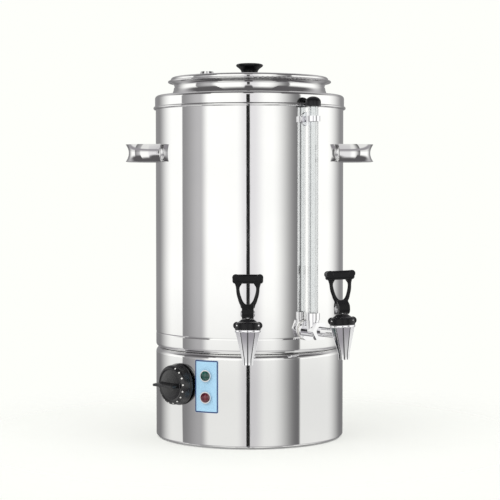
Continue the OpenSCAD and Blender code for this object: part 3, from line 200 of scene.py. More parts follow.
class Effects:
    """Shader node groups that several finishes share, each made once."""

    def __init__(self) -> None:
        """Starts with no group made."""
        self.made: dict[str, NodeTree] = {}

    def _group(self, name: str, inputs: dict[str, float | None], outputs: Iterable[str],
               fill: Callable[[Wiring, Node, Node], None]) -> NodeTree:
        """Makes a group once.

        Args:
            name: Name of the group.
            inputs: Names of the inputs with their values, or None for a vector.
            outputs: Names of the value outputs.
            fill: Adds the nodes between the group's input and output.

        Returns:
            The group.
        """
        if name not in self.made:
            tree = bpy.data.node_groups.new(name, "ShaderNodeTree")
            for key, value in inputs.items():
                kind = "NodeSocketVector" if value is None else "NodeSocketFloat"
                socket = tree.interface.new_socket(key, in_out="INPUT", socket_type=kind)
                if value is not None:
                    socket.default_value = value
            for key in outputs:
                tree.interface.new_socket(key, in_out="OUTPUT", socket_type="NodeSocketFloat")
            wiring = Wiring(tree)
            fill(wiring, wiring.add("NodeGroupInput"), wiring.add("NodeGroupOutput"))
            self.made[name] = tree
        return self.made[name]

    @staticmethod
    def place(wiring: Wiring, tree: NodeTree, **inputs: object) -> Node:
        """Places a group in a material with its own values."""
        return wiring.add("Group", {"node_tree": tree}, **inputs)

    def fine_scratches(self) -> NodeTree:
        """Draws fine polishing scratches that cross in three directions.

        Returns:
            The group, with a mask of the scratches.
        """
        def fill(w: Wiring, source: Node, result: Node) -> None:
            """Adds three sets of drawn-out noise and keeps the strongest.

            Args:
                w: Wiring of the group.
                source: Its input node.
                result: Its output node.
            """
            lines = []
            for turn in ((0.2, 0.1, 0.4), (1.1, 0.5, -0.6), (0.6, -0.9, 1.3)):
                turned = w.stretched(source.outputs["Vector"], (1.0, 1.0, 0.03), turn)
                lines.append(w.ramp(w.noise(turned, source.outputs["Scale"], 2.0), 0.62, 0.7))
            w.feed(result, Mask=w.math("MAXIMUM", lines[0], w.math("MAXIMUM", lines[1], lines[2])))
        return self._group("fine_scratches", {"Vector": None, "Scale": 900.0}, ["Mask"], fill)

    def hand_smudges(self) -> NodeTree:
        """Spreads soft wipe marks and finger marks.

        Returns:
            The group, with a mask of the marks.
        """
        def fill(w: Wiring, source: Node, result: Node) -> None:
            """Adds wide marks, broken up by finer noise that they warp.

            Args:
                w: Wiring of the group.
                source: Its input node.
                result: Its output node.
            """
            vector, scale = source.outputs["Vector"], source.outputs["Scale"]
            wide = w.add("TexNoise", Vector=vector, Scale=scale, Detail=5.0)
            warped = w.add("VectorMath", {"operation": "ADD"}, in0=vector, in1=wide.outputs[1])
            fine = w.noise(warped.outputs[0], scale, 8.0)
            marks = w.ramp(wide.outputs[0], 0.42, 0.7)
            w.feed(result, Mask=w.math("MULTIPLY", marks, w.ramp(fine, 0.35, 0.65)))
        return self._group("hand_smudges", {"Vector": None, "Scale": 14.0}, ["Mask"], fill)

    def mould_grain(self) -> NodeTree:
        """Pits a moulded surface with a fine grain, a little uneven in tone.

        Returns:
            The group, with the height of the grain and a slow tone.
        """
        def fill(w: Wiring, source: Node, result: Node) -> None:
            """Adds the pits and the slow noise.

            Args:
                w: Wiring of the group.
                source: Its input node.
                result: Its output node.
            """
            pits = w.add("TexVoronoi", Vector=source.outputs["Vector"], Scale=source.outputs["Scale"])
            slow = w.noise(source.outputs["Vector"], 60.0, 4.0)
            w.feed(result, Height=w.ramp(pits.outputs["Distance"], 0.0, 0.6), Tone=w.ramp(slow, 0.3, 0.7))
        return self._group("mould_grain", {"Vector": None, "Scale": 1500.0}, ["Height", "Tone"], fill)

    def worn_and_highlit_edges(self) -> NodeTree:
        """Finds the edges that are lightened for rubbed wear and a painted highlight, broken up by noise.

        Returns:
            The group, with a mask of the edges.
        """
        def fill(w: Wiring, source: Node, result: Node) -> None:
            """Adds the edges by their bend, with a ragged border.

            Args:
                w: Wiring of the group.
                source: Its input node.
                result: Its output node.
            """
            bend = w.add("NewGeometry").outputs["Pointiness"]
            ragged = w.math("MULTIPLY", w.noise(source.outputs["Vector"], 220.0, 4.0), 0.03)
            edge = w.ramp(w.math("ADD", bend, ragged), 0.535, 0.6)
            w.feed(result, Mask=w.math("MULTIPLY", edge, source.outputs["Amount"]))
        return self._group("worn_and_highlit_edges", {"Vector": None, "Amount": 1.0}, ["Mask"], fill)

    def turned_rings(self) -> NodeTree:
        """Draws the faint rings that spinning and polishing leave along an upright axis.

        Returns:
            The group, with the height of the rings.
        """
        def fill(w: Wiring, source: Node, result: Node) -> None:
            """Adds noise that is squeezed along the axis.

            Args:
                w: Wiring of the group.
                source: Its input node.
                result: Its output node.
            """
            squeezed = w.stretched(source.outputs["Vector"], (0.4, 0.4, 1.0))
            w.feed(result, Height=w.ramp(w.noise(squeezed, source.outputs["Scale"]), 0.3, 0.7))
        return self._group("turned_rings", {"Vector": None, "Scale": 160.0}, ["Height"], fill)


EFFECTS = Effects()


def surface(name: str) -> tuple[Material, Wiring, Node]:
    """Starts a material.

    Args:
        name: Name of the material.

    Returns:
        The material, its wiring and its surface shader.
    """
    material = bpy.data.materials.new(name)
    material.use_nodes = True
    wiring = Wiring(material.node_tree)
    return material, wiring, material.node_tree.nodes["Principled BSDF"]


@dataclass(frozen=True)
class PolishedMetal:
    """Metal with polishing scratches, wipe marks and faint spun rings."""

    name: str
    colour: Colour
    tint: Colour
    roughness: float = 0.05
    smudge_rough: float = 0.05
    scratch_scale: float = 900.0
    scratch_depth: float = 0.02
    scratch_rough: float = 0.04
    ring_depth: float = 0.0
    cloud_scale: float = 9.0
    relief: float = 0.2
    relief_height: float = 0.2 * MM

    def material(self) -> Material:
        """Makes the material.

        Returns:
            The material.
        """
        material, w, shader = surface(self.name)
        place = w.object_place()
        scratches = EFFECTS.place(w, EFFECTS.fine_scratches(), Vector=place, Scale=self.scratch_scale)
        smudges = EFFECTS.place(w, EFFECTS.hand_smudges(), Vector=place)
        rings = EFFECTS.place(w, EFFECTS.turned_rings(), Vector=place)
        cloud = w.ramp(w.noise(place, self.cloud_scale, 4.0), 0.35, 0.65)
        rough = w.math("MULTIPLY_ADD", smudges.outputs["Mask"], self.smudge_rough, self.roughness)
        rough = w.math("ADD", rough, w.math("MULTIPLY", scratches.outputs["Mask"], self.scratch_rough))
        height = w.math("MULTIPLY", scratches.outputs["Mask"], -self.scratch_depth)
        height = w.math("ADD", height, w.math("MULTIPLY", rings.outputs["Height"], self.ring_depth))
        w.feed(shader, Base_Color=w.mix(cloud, self.colour, self.tint), Metallic=1.0, Roughness=rough,
               Normal=w.bump(height, self.relief, self.relief_height))
        return material


@dataclass(frozen=True)
class Moulding:
    """Moulded plastic or rubber with a fine grain, and edges lightened for rubbed wear and a painted
    highlight.
    """

    name: str
    colour: Colour
    worn_and_highlit: Colour
    roughness: float = 0.3
    grain_scale: float = 1500.0
    grain_depth: float = 0.3
    wear_and_highlight: float = 0.35
    specular: float = 0.5
    smudge_rough: float = 0.14
    smudge_scale: float = 40.0
    shade: float = 0.75
    relief_height: float = 0.1 * MM

    def material(self) -> Material:
        """Makes the material.

        Returns:
            The material.
        """
        material, w, shader = surface(self.name)
        place = w.object_place()
        grain = EFFECTS.place(w, EFFECTS.mould_grain(), Vector=place, Scale=self.grain_scale)
        edges = EFFECTS.place(w, EFFECTS.worn_and_highlit_edges(), Vector=place, Amount=self.wear_and_highlight)
        smudges = EFFECTS.place(w, EFFECTS.hand_smudges(), Vector=place, Scale=self.smudge_scale)
        shaded = tuple(self.shade * c for c in self.colour)
        colour = w.mix(grain.outputs["Tone"], shaded, self.colour)
        # lightens the edges: partly rubbed wear, partly a painted highlight
        colour = w.mix(edges.outputs["Mask"], colour, self.worn_and_highlit)
        dulled = (self.roughness, self.roughness + self.smudge_rough)
        rough = w.ramp(smudges.outputs["Mask"], 0.0, 1.0, dulled)
        w.feed(shader, Base_Color=colour, Roughness=rough, Specular_IOR_Level=self.specular,
               Normal=w.bump(grain.outputs["Height"], self.grain_depth, self.relief_height))
        return material


@dataclass(frozen=True)
class SightTube:
    """Clear drawn glass with faint wipe marks."""

    name: str
    colour: Colour = (0.86, 0.875, 0.88)
    refraction: float = 1.47
    smudge_scale: float = 30.0
    smudge_rough: float = 0.02
    milky: float = 0.96

    def material(self) -> Material:
        """Makes the material.

        Returns:
            The material.
        """
        material, w, shader = surface(self.name)
        smudges = EFFECTS.place(w, EFFECTS.hand_smudges(), Vector=w.object_place(), Scale=self.smudge_scale)
        mask = smudges.outputs["Mask"]
        wiped = tuple(self.milky * c for c in self.colour)
        w.feed(shader, Base_Color=w.mix(mask, self.colour, wiped), Transmission_Weight=1.0,
               Roughness=w.ramp(mask, 0.0, 1.0, (0.0, self.smudge_rough)), IOR=self.refraction)
        return material


@dataclass(frozen=True)
class PrintedPlate:
    """Pale blue plate with a printed border round a plain face."""

    name: str
    azimuth: float
    middle: float
    half_width: float
    half_height: float
    border: float = 1.7 * MM
    margin: float = 0.1 * MM
    corner: float = 2.0 * MM
    blur: float = 0.1 * MM
    raggedness: float = 0.15 * MM
    face: Colour = (0.4, 0.65, 0.84)
    ink: Colour = (0.012, 0.03, 0.14)
    rim: Colour = (0.32, 0.52, 0.72)
    paler: float = 1.06
    roughness: Span = (0.32, 0.5)
    smudge_scale: float = 50.0
    grain_scale: float = 1400.0
    grain_depth: float = 0.15
    relief_height: float = 0.1 * MM

    def material(self) -> Material:
        """Makes the material, with its border on coordinates turned to the plate.

        Returns:
            The material.
        """
        material, w, shader = surface(self.name)
        place = w.object_place()
        ragged = w.math("MULTIPLY", w.noise(place, 900.0, 2.0), self.raggedness)
        inked = w.math("ADD", self._edge(w, place), ragged)
        outer, inner = (
            w.ramp(inked, -depth - self.blur, -depth + self.blur, smooth=False)
            for depth in (self.margin, self.margin + self.border)
        )
        cloud = w.ramp(w.noise(place, 70.0, 5.0), 0.3, 0.7)
        pale = tuple(min(1.0, self.paler * c) for c in self.face)
        colour = w.mix(inner, w.mix(cloud, self.face, pale), self.ink)
        smudges = EFFECTS.place(w, EFFECTS.hand_smudges(), Vector=place, Scale=self.smudge_scale)
        w.feed(shader, Base_Color=w.mix(outer, colour, self.rim),
               Roughness=w.ramp(smudges.outputs["Mask"], 0.0, 1.0, self.roughness),
               Normal=w.bump(w.noise(place, self.grain_scale, 2.0), self.grain_depth, self.relief_height))
        return material

    def _edge(self, w: Wiring, place: NodeSocket) -> NodeSocket:
        """Measures the distance to the plate's rounded outline.

        Args:
            w: Wiring of the material.
            place: Coordinates of the object.

        Returns:
            Distance in metres, below 0 on the plate.
        """
        turned = w.stretched(place, (1.0, 1.0, 1.0), (0.0, 0.0, -math.radians(self.azimuth)))
        parts = w.add("SeparateXYZ", Vector=turned).outputs
        up = w.math("SUBTRACT", parts[2], self.middle)
        across = w.math("SUBTRACT", w.math("ABSOLUTE", parts[0]), self.half_width - self.corner)
        along = w.math("SUBTRACT", w.math("ABSOLUTE", up), self.half_height - self.corner)
        squares = [w.math("POWER", w.math("MAXIMUM", side, 0.0), 2.0) for side in (across, along)]
        outside = w.math("SQRT", w.math("ADD", *squares))
        inside = w.math("MINIMUM", w.math("MAXIMUM", across, along), 0.0)
        return w.math("SUBTRACT", w.math("ADD", outside, inside), self.corner)


@dataclass(frozen=True)
class TintedLens:
    """Tinted lamp lens with a cast pattern under a clear gloss."""

    name: str
    deep: Colour
    bright: Colour
    gloss: float = 0.7
    gloss_rough: float = 0.06
    roughness: Span = (0.12, 0.24)
    cell_scale: float = 420.0
    cloud_scale: float = 160.0
    pattern_depth: float = 0.25
    relief_height: float = 0.4 * MM

    def material(self) -> Material:
        """Makes the material.

        Returns:
            The material.
        """
        material, w, shader = surface(self.name)
        place = w.object_place()
        cells = w.add("TexVoronoi", Vector=place, Scale=self.cell_scale).outputs["Distance"]
        cloud = w.ramp(w.noise(place, self.cloud_scale, 3.0), 0.3, 0.7)
        colour = w.mix(w.math("MULTIPLY", cloud, w.ramp(cells, 0.0, 0.7)), self.deep, self.bright)
        w.feed(shader, Base_Color=colour, Roughness=w.ramp(cloud, 0.0, 1.0, self.roughness),
               Coat_Weight=self.gloss, Coat_Roughness=self.gloss_rough,
               Normal=w.bump(cells, self.pattern_depth, self.relief_height))
        return material


BLACK: Colour = (0.006, 0.006, 0.007)
# edge colour of black plastic: rubbed wear and a painted highlight
RUBBED_AND_HIGHLIT_BLACK: Colour = (0.03, 0.03, 0.032)

FINISHES = {
    Slot.POLISHED_STEEL: PolishedMetal(
        "polished_steel", (0.83, 0.83, 0.825), (0.8, 0.8, 0.8), 0.025, 0.04, ring_depth=0.003),
    Slot.PLAIN_STEEL: PolishedMetal(
        "plain_steel", (0.6, 0.6, 0.61), (0.53, 0.53, 0.54), 0.28, 0.12, 600.0, 0.2),
    Slot.BRIGHT_CHROME: PolishedMetal("bright_chrome", (0.87, 0.87, 0.88), (0.83, 0.83, 0.85), 0.035, 0.04),
    Slot.BLACK_PLASTIC: Moulding("black_plastic", BLACK, RUBBED_AND_HIGHLIT_BLACK, 0.24, specular=0.22),
    Slot.GREY_RUBBER: Moulding("grey_rubber", (0.4, 0.4, 0.4), (0.5, 0.5, 0.5), 0.65, 900.0, 0.5),
    Slot.PALE_SILICONE: Moulding(
        "pale_silicone", (0.78, 0.77, 0.74), (0.85, 0.84, 0.8), 0.45, 1200.0, 0.15),
    Slot.CLEAR_GLASS: SightTube("clear_glass"),
    Slot.BLUE_PLATE: PrintedPlate("blue_plate", -26.0, 88.5 * MM, 18.25 * MM, 37.5 * MM),
    Slot.GREEN_LENS: TintedLens("green_lens", (0.002, 0.035, 0.028), (0.006, 0.1, 0.075)),
    Slot.RED_LENS: TintedLens("red_lens", (0.05, 0.003, 0.01), (0.17, 0.009, 0.022)),
    Slot.RED_BUTTON: Moulding("red_button", (0.55, 0.03, 0.025), (0.7, 0.15, 0.1), 0.4),
    Slot.YELLOW_BRASS: PolishedMetal(
        "yellow_brass", (0.74, 0.56, 0.24), (0.62, 0.46, 0.2), 0.22, 0.15, 500.0, 0.2),
    Slot.CREAM_MOULDING: Moulding("cream_moulding", (0.78, 0.71, 0.56), (0.86, 0.8, 0.68), 0.5),
    Slot.DARK_MOULDING: Moulding("dark_moulding", (0.05, 0.05, 0.055), (0.12, 0.12, 0.12), 0.45),
    Slot.COPPER_TUBE: PolishedMetal(
        "copper_tube", (0.72, 0.4, 0.26), (0.55, 0.29, 0.19), 0.2, 0.2, 500.0, 0.2),
    Slot.ELEMENT_SHEATH: PolishedMetal(
        "element_sheath", (0.34, 0.32, 0.3), (0.22, 0.2, 0.2), 0.4, 0.2, 400.0, 0.3),
    Slot.RED_INSULATION: Moulding("red_insulation", (0.42, 0.03, 0.025), (0.5, 0.1, 0.08), 0.45),
}


class Dresser:
    """Makes each finish once and puts it on CAD nodes and pieces."""

    def __init__(self) -> None:
        """Makes the materials."""
        self.materials = {slot: finish.material() for slot, finish in FINISHES.items()}

    def dress_nodes(self) -> None:
        """Gives every CAD node the finish of its slot."""
        for entry in frame["record"]["subparts"]:
            node = frame["nodes"][entry["node"]]
            node.data.materials.clear()
            node.data.materials.append(self.materials[Slot(entry["material_slot"])])

    def dress(self, piece: Object, slot: Slot, finish: Moulding | None = None) -> None:
        """Gives a new piece its finish.

        Args:
            piece: Finished piece.
            slot: Slot of the record that it belongs to.
            finish: A finish of its own, in place of the slot's.
        """
        piece.data.materials.clear()
        piece.data.materials.append(finish.material() if finish else self.materials[slot])


class Bench:
    """One piece on the bench: operators act on what is selected by place."""

    def __init__(self) -> None:
        """Takes the object that has just been added."""
        self.piece = bpy.context.active_object

    @staticmethod
    def clear() -> None:
        """Deselects everything before a primitive is added."""
        bpy.ops.object.select_all(action="DESELECT")

    @classmethod
    def box(cls, size: Point, at: Point = (0, 0, 0)) -> "Bench":
        """Adds a block.

        Args:
            size: Its three sides.
            at: Its middle.

        Returns:
            The bench with the block.
        """
        cls.clear()
        bpy.ops.mesh.primitive_cube_add(size=1.0, location=at)
        bench = cls()
        bpy.ops.transform.resize(value=size, center_override=at)
        return bench.settle()

    @classmethod
    def rod(cls, radius: float, length: float, along: str = "Z", at: Point = (0, 0, 0),
            sides: int = 48) -> "Bench":
        """Adds a cylinder.

        Args:
            radius: Its radius.
            length: Its length.
            along: Axis that it lies along.
            at: Its middle.
            sides: Number of sides.

        Returns:
            The bench with the cylinder.
        """
        cls.clear()
        turn = {"X": (0, QUARTER, 0), "Y": (QUARTER, 0, 0), "Z": (0, 0, 0)}[along]
        bpy.ops.mesh.primitive_cylinder_add(vertices=sides, radius=radius, depth=length, location=at,
                                            rotation=turn)
        return cls().settle()

    @classmethod
    def hoop(cls, radius: float, at: Point, turn: Point, sides: int) -> "Bench":
        """Adds an open circle as a section to extrude.

        Args:
            radius: Its radius.
            at: Its middle.
            turn: How it is turned from lying flat.
            sides: Number of sides.

        Returns:
            The bench with the circle.
        """
        cls.clear()
        bpy.ops.mesh.primitive_circle_add(vertices=sides, radius=radius, fill_type="NOTHING", location=at,
                                          rotation=turn)
        return cls().settle()

    @classmethod
    def eye(cls, major: float, minor: float, at: Point, stretch: float) -> "Bench":
        """Adds a ring whose hole runs from front to back.

        Args:
            major: Radius to the middle of its section.
            minor: Radius of its section.
            at: Its middle.
            stretch: How much deeper than round it is.

        Returns:
            The bench with the ring.
        """
        cls.clear()
        bpy.ops.mesh.primitive_torus_add(major_radius=major, minor_radius=minor, major_segments=40,
                                         minor_segments=16, location=at, rotation=(QUARTER, 0, 0))
        eye = cls().settle()
        eye.edit("FACE")
        eye.pick_all()
        bpy.ops.transform.resize(value=(1, stretch, 1), center_override=(0, 0, 0))
        return eye.done()

    @classmethod
    def turned(cls, profile: Profile, sides: int = 64, hollow: bool = False) -> "Bench":
        """Turns a piece about Z from rings of radius and height, as lofted does."""
        return cls.lofted([(r, r, (0.0, 0.0, z)) for r, z in profile], sides, hollow)

    @classmethod
    def lofted(cls, rings: Sequence[tuple[float, float, Point]], sides: int = 24,
               hollow: bool = False) -> "Bench":
        """Extrudes a round section upwards through a row of rings.

        Args:
            rings: Half width, half depth and middle of each ring.
            sides: Number of sides.
            hollow: Whether the last ring meets the first, so that a hole runs through.

        Returns:
            The bench with the closed piece.
        """
        cls.clear()
        wide, deep, at = rings[0]
        bpy.ops.mesh.primitive_circle_add(vertices=sides, radius=1.0, fill_type="NOTHING")
        bench = cls()
        bench.edit("EDGE")
        bench.pick_all()
        bpy.ops.transform.resize(value=(wide, deep, 1.0), center_override=(0, 0, 0))
        bpy.ops.transform.translate(value=at)
        for next_wide, next_deep, next_at in rings[1:]:
            bench.extrude(tuple(Vector(next_at) - Vector(at)))
            bpy.ops.transform.resize(value=(next_wide / wide, next_deep / deep, 1.0), center_override=next_at)
            wide, deep, at = next_wide, next_deep, next_at
        return bench.close(TOUCHING, fill=False) if hollow else bench.close()

    def _take(self) -> None:
        """Selects this piece alone and makes it the active one."""
        self.clear()
        self.piece.select_set(True)
        bpy.context.view_layer.objects.active = self.piece

    def edit(self, kind: str) -> None:
        """Opens edit mode on this piece alone.

        Args:
            kind: What is selected there: VERT, EDGE or FACE.
        """
        self._take()
        bpy.ops.object.mode_set(mode="EDIT")
        bpy.ops.mesh.select_mode(type=kind)

    def done(self) -> "Bench":
        """Leaves edit mode."""
        bpy.ops.object.mode_set(mode="OBJECT")
        return self

    @staticmethod
    def pick_all() -> None:
        """Selects the whole mesh in edit mode."""
        bpy.ops.mesh.select_all(action="SELECT")

    def pick(self, where: Callable[[Vector], bool]) -> None:
        """Selects vertices, edges or faces in edit mode.

        Args:
            where: Test that the middle of each has to pass.
        """
        mesh = bmesh.from_edit_mesh(self.piece.data)
        kind = bpy.context.tool_settings.mesh_select_mode
        bpy.ops.mesh.select_all(action="DESELECT")
        if kind[0]:
            for vert in mesh.verts:
                vert.select_set(where(vert.co))
        elif kind[1]:
            for edge in mesh.edges:
                edge.select_set(where((edge.verts[0].co + edge.verts[1].co) / 2))
        else:
            for face in mesh.faces:
                face.select_set(where(face.calc_center_median()))
        mesh.select_flush_mode()
        bmesh.update_edit_mesh(self.piece.data)

    @staticmethod
    def extrude(by: Point) -> None:
        """Extrudes what is selected in edit mode."""
        bpy.ops.mesh.extrude_region_move(TRANSFORM_OT_translate={"value": by})

    def close(self, merge: float = 0.0, fill: bool = True) -> "Bench":
        """Closes a shape in edit mode, points its faces outwards and leaves edit mode.

        Args:
            merge: Distance within which doubles are merged, or 0.
            fill: Whether open ends are filled.

        Returns:
            The bench.
        """
        if merge:
            self.pick_all()
            bpy.ops.mesh.remove_doubles(threshold=merge)
        if fill:
            self.pick_all()
            bpy.ops.mesh.fill_holes(sides=0)
        self.pick_all()
        bpy.ops.mesh.normals_make_consistent(inside=False)
        return self.done()

    def bevel(self, width: float, segments: int,
              where: Callable[[Vector], bool] = lambda _: True) -> "Bench":
        """Rounds edges.

        Args:
            width: Width of the rounding.
            segments: Faces across it.
            where: Test that an edge's middle has to pass.

        Returns:
            The bench.
        """
        self.edit("EDGE")
        self.pick(where)
        bpy.ops.mesh.bevel(offset=width, segments=segments, affect="EDGES", clamp_overlap=True)
        return self.done()

    def shift(self, by: Point, where: Callable[[Vector], bool]) -> "Bench":
        """Moves vertices.

        Args:
            by: How far they move.
            where: Test that a vertex has to pass.

        Returns:
            The bench.
        """
        self.edit("VERT")
        self.pick(where)
        bpy.ops.transform.translate(value=by)
        return self.done()

    def modify(self, kind: str, **settings: object) -> "Bench":
        """Adds a modifier and applies it.

        Args:
            kind: Type of the modifier.
            settings: Its properties.

        Returns:
            The bench.
        """
        self._take()
        modifier = self.piece.modifiers.new(kind.lower(), kind)
        for key, value in settings.items():
            setattr(modifier, key, value)
        bpy.ops.object.modifier_apply(modifier=modifier.name)
        return self

    def cut(self, cutter: "Bench") -> "Bench":
        """Cuts another piece out of this one and deletes it.

        Args:
            cutter: Piece that is cut out.

        Returns:
            The bench.
        """
        self.modify("BOOLEAN", operation="DIFFERENCE", object=cutter.piece, solver="EXACT")
        bpy.data.objects.remove(cutter.piece)
        return self

    def join(self, *others: "Bench") -> "Bench":
        """Joins other pieces to this one.

        Args:
            others: Pieces that become part of it.

        Returns:
            The bench.
        """
        self._take()
        for other in others:
            other.piece.select_set(True)
        bpy.ops.object.join()
        return self

    def mould(self, voxel: float, passes: int) -> "Bench":
        """Melts overlapping pieces into one moulded skin with soft corners."""
        self.modify("REMESH", mode="VOXEL", voxel_size=voxel)
        return self.modify("SMOOTH", factor=0.5, iterations=passes)

    def copy(self) -> "Bench":
        """Copies the piece.

        Returns:
            The bench with the copy, which has its own mesh.
        """
        self._take()
        bpy.ops.object.duplicate(linked=False)
        return Bench()

    def settle(self, place: Matrix | None = None) -> "Bench":
        """Moves the piece and brings its object back to the origin.

        Args:
            place: Matrix that it is moved by.

        Returns:
            The bench.
        """
        self._take()
        if place is not None:
            self.piece.matrix_world = place @ self.piece.matrix_world
            bpy.context.view_layer.update()
        bpy.ops.object.transform_apply(location=True, rotation=True, scale=True)
        return self

    def finish(self, name: str, body: Body, angle: float = SOFT_ANGLE) -> Object:
        """Names the piece, shades it and lets it ride on a body.

        Args:
            name: Name of the piece.
            body: Body that it moves with.
            angle: Faces that meet at less than this many degrees are shaded smooth.

        Returns:
            The finished piece.
        """
        self.settle()
        bpy.ops.object.shade_smooth_by_angle(angle=math.radians(angle))
        self.piece.name = name
        self.piece.data.name = name
        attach(self.piece, body.value)
        log.info("%s: %d faces on %s", name, len(self.piece.data.polygons), body.value)
        return self.piece


def outward(azimuth: float, radius: float, height: float) -> Matrix:
    """Returns a frame that faces outwards at an azimuth from the front: X sideways, Y up and Z outwards."""
    turn = Matrix.Rotation(math.radians(azimuth), 4, "Z")
    return turn @ Matrix.Translation((0, -radius, height)) @ Matrix.Rotation(QUARTER, 4, "X")


def scaled(profile: Profile) -> list[tuple[float, float]]:
    """Returns a profile given in millimetres in metres."""
    return [(r * MM, z * MM) for r, z in profile]


@dataclass
class TapPlace:
    """Where a tap's leaned column stands."""

    prefix: str
    azimuth: float
    lever: Body
    height: float
    bonnet_turn: float
    lever_turn: float
    shank_length: float
    reach: float = 223 * MM
    lean: float = 5.0
    pin_up: float = 34.85 * MM

    def column(self, up: float = 0.0, turn: float = 0.0) -> Matrix:
        """Finds a place on the column.

        Args:
            up: Height above the shank, along the column.
            turn: Degrees turned about the column.

        Returns:
            The frame there.
        """
        lean = Matrix.Rotation(-math.radians(self.lean), 4, "X")
        turned = Matrix.Rotation(math.radians(turn), 4, "Z")
        return self.upright() @ lean @ Matrix.Translation((0, 0, up)) @ turned

    def upright(self) -> Matrix:
        """Returns the frame at the shank, turned to the tap but not leaned."""
        turn = Matrix.Rotation(math.radians(self.azimuth), 4, "Z")
        return turn @ Matrix.Translation((0, -self.reach, self.height))


TAPS = (
    TapPlace("front", -0.6, Body.FRONT_LEVER, 165.65 * MM, 0.0, 0.0, 106.95 * MM),
    TapPlace("side", 35.5, Body.SIDE_LEVER, 168.65 * MM, -35.0, -17.0, 65.9 * MM),
)


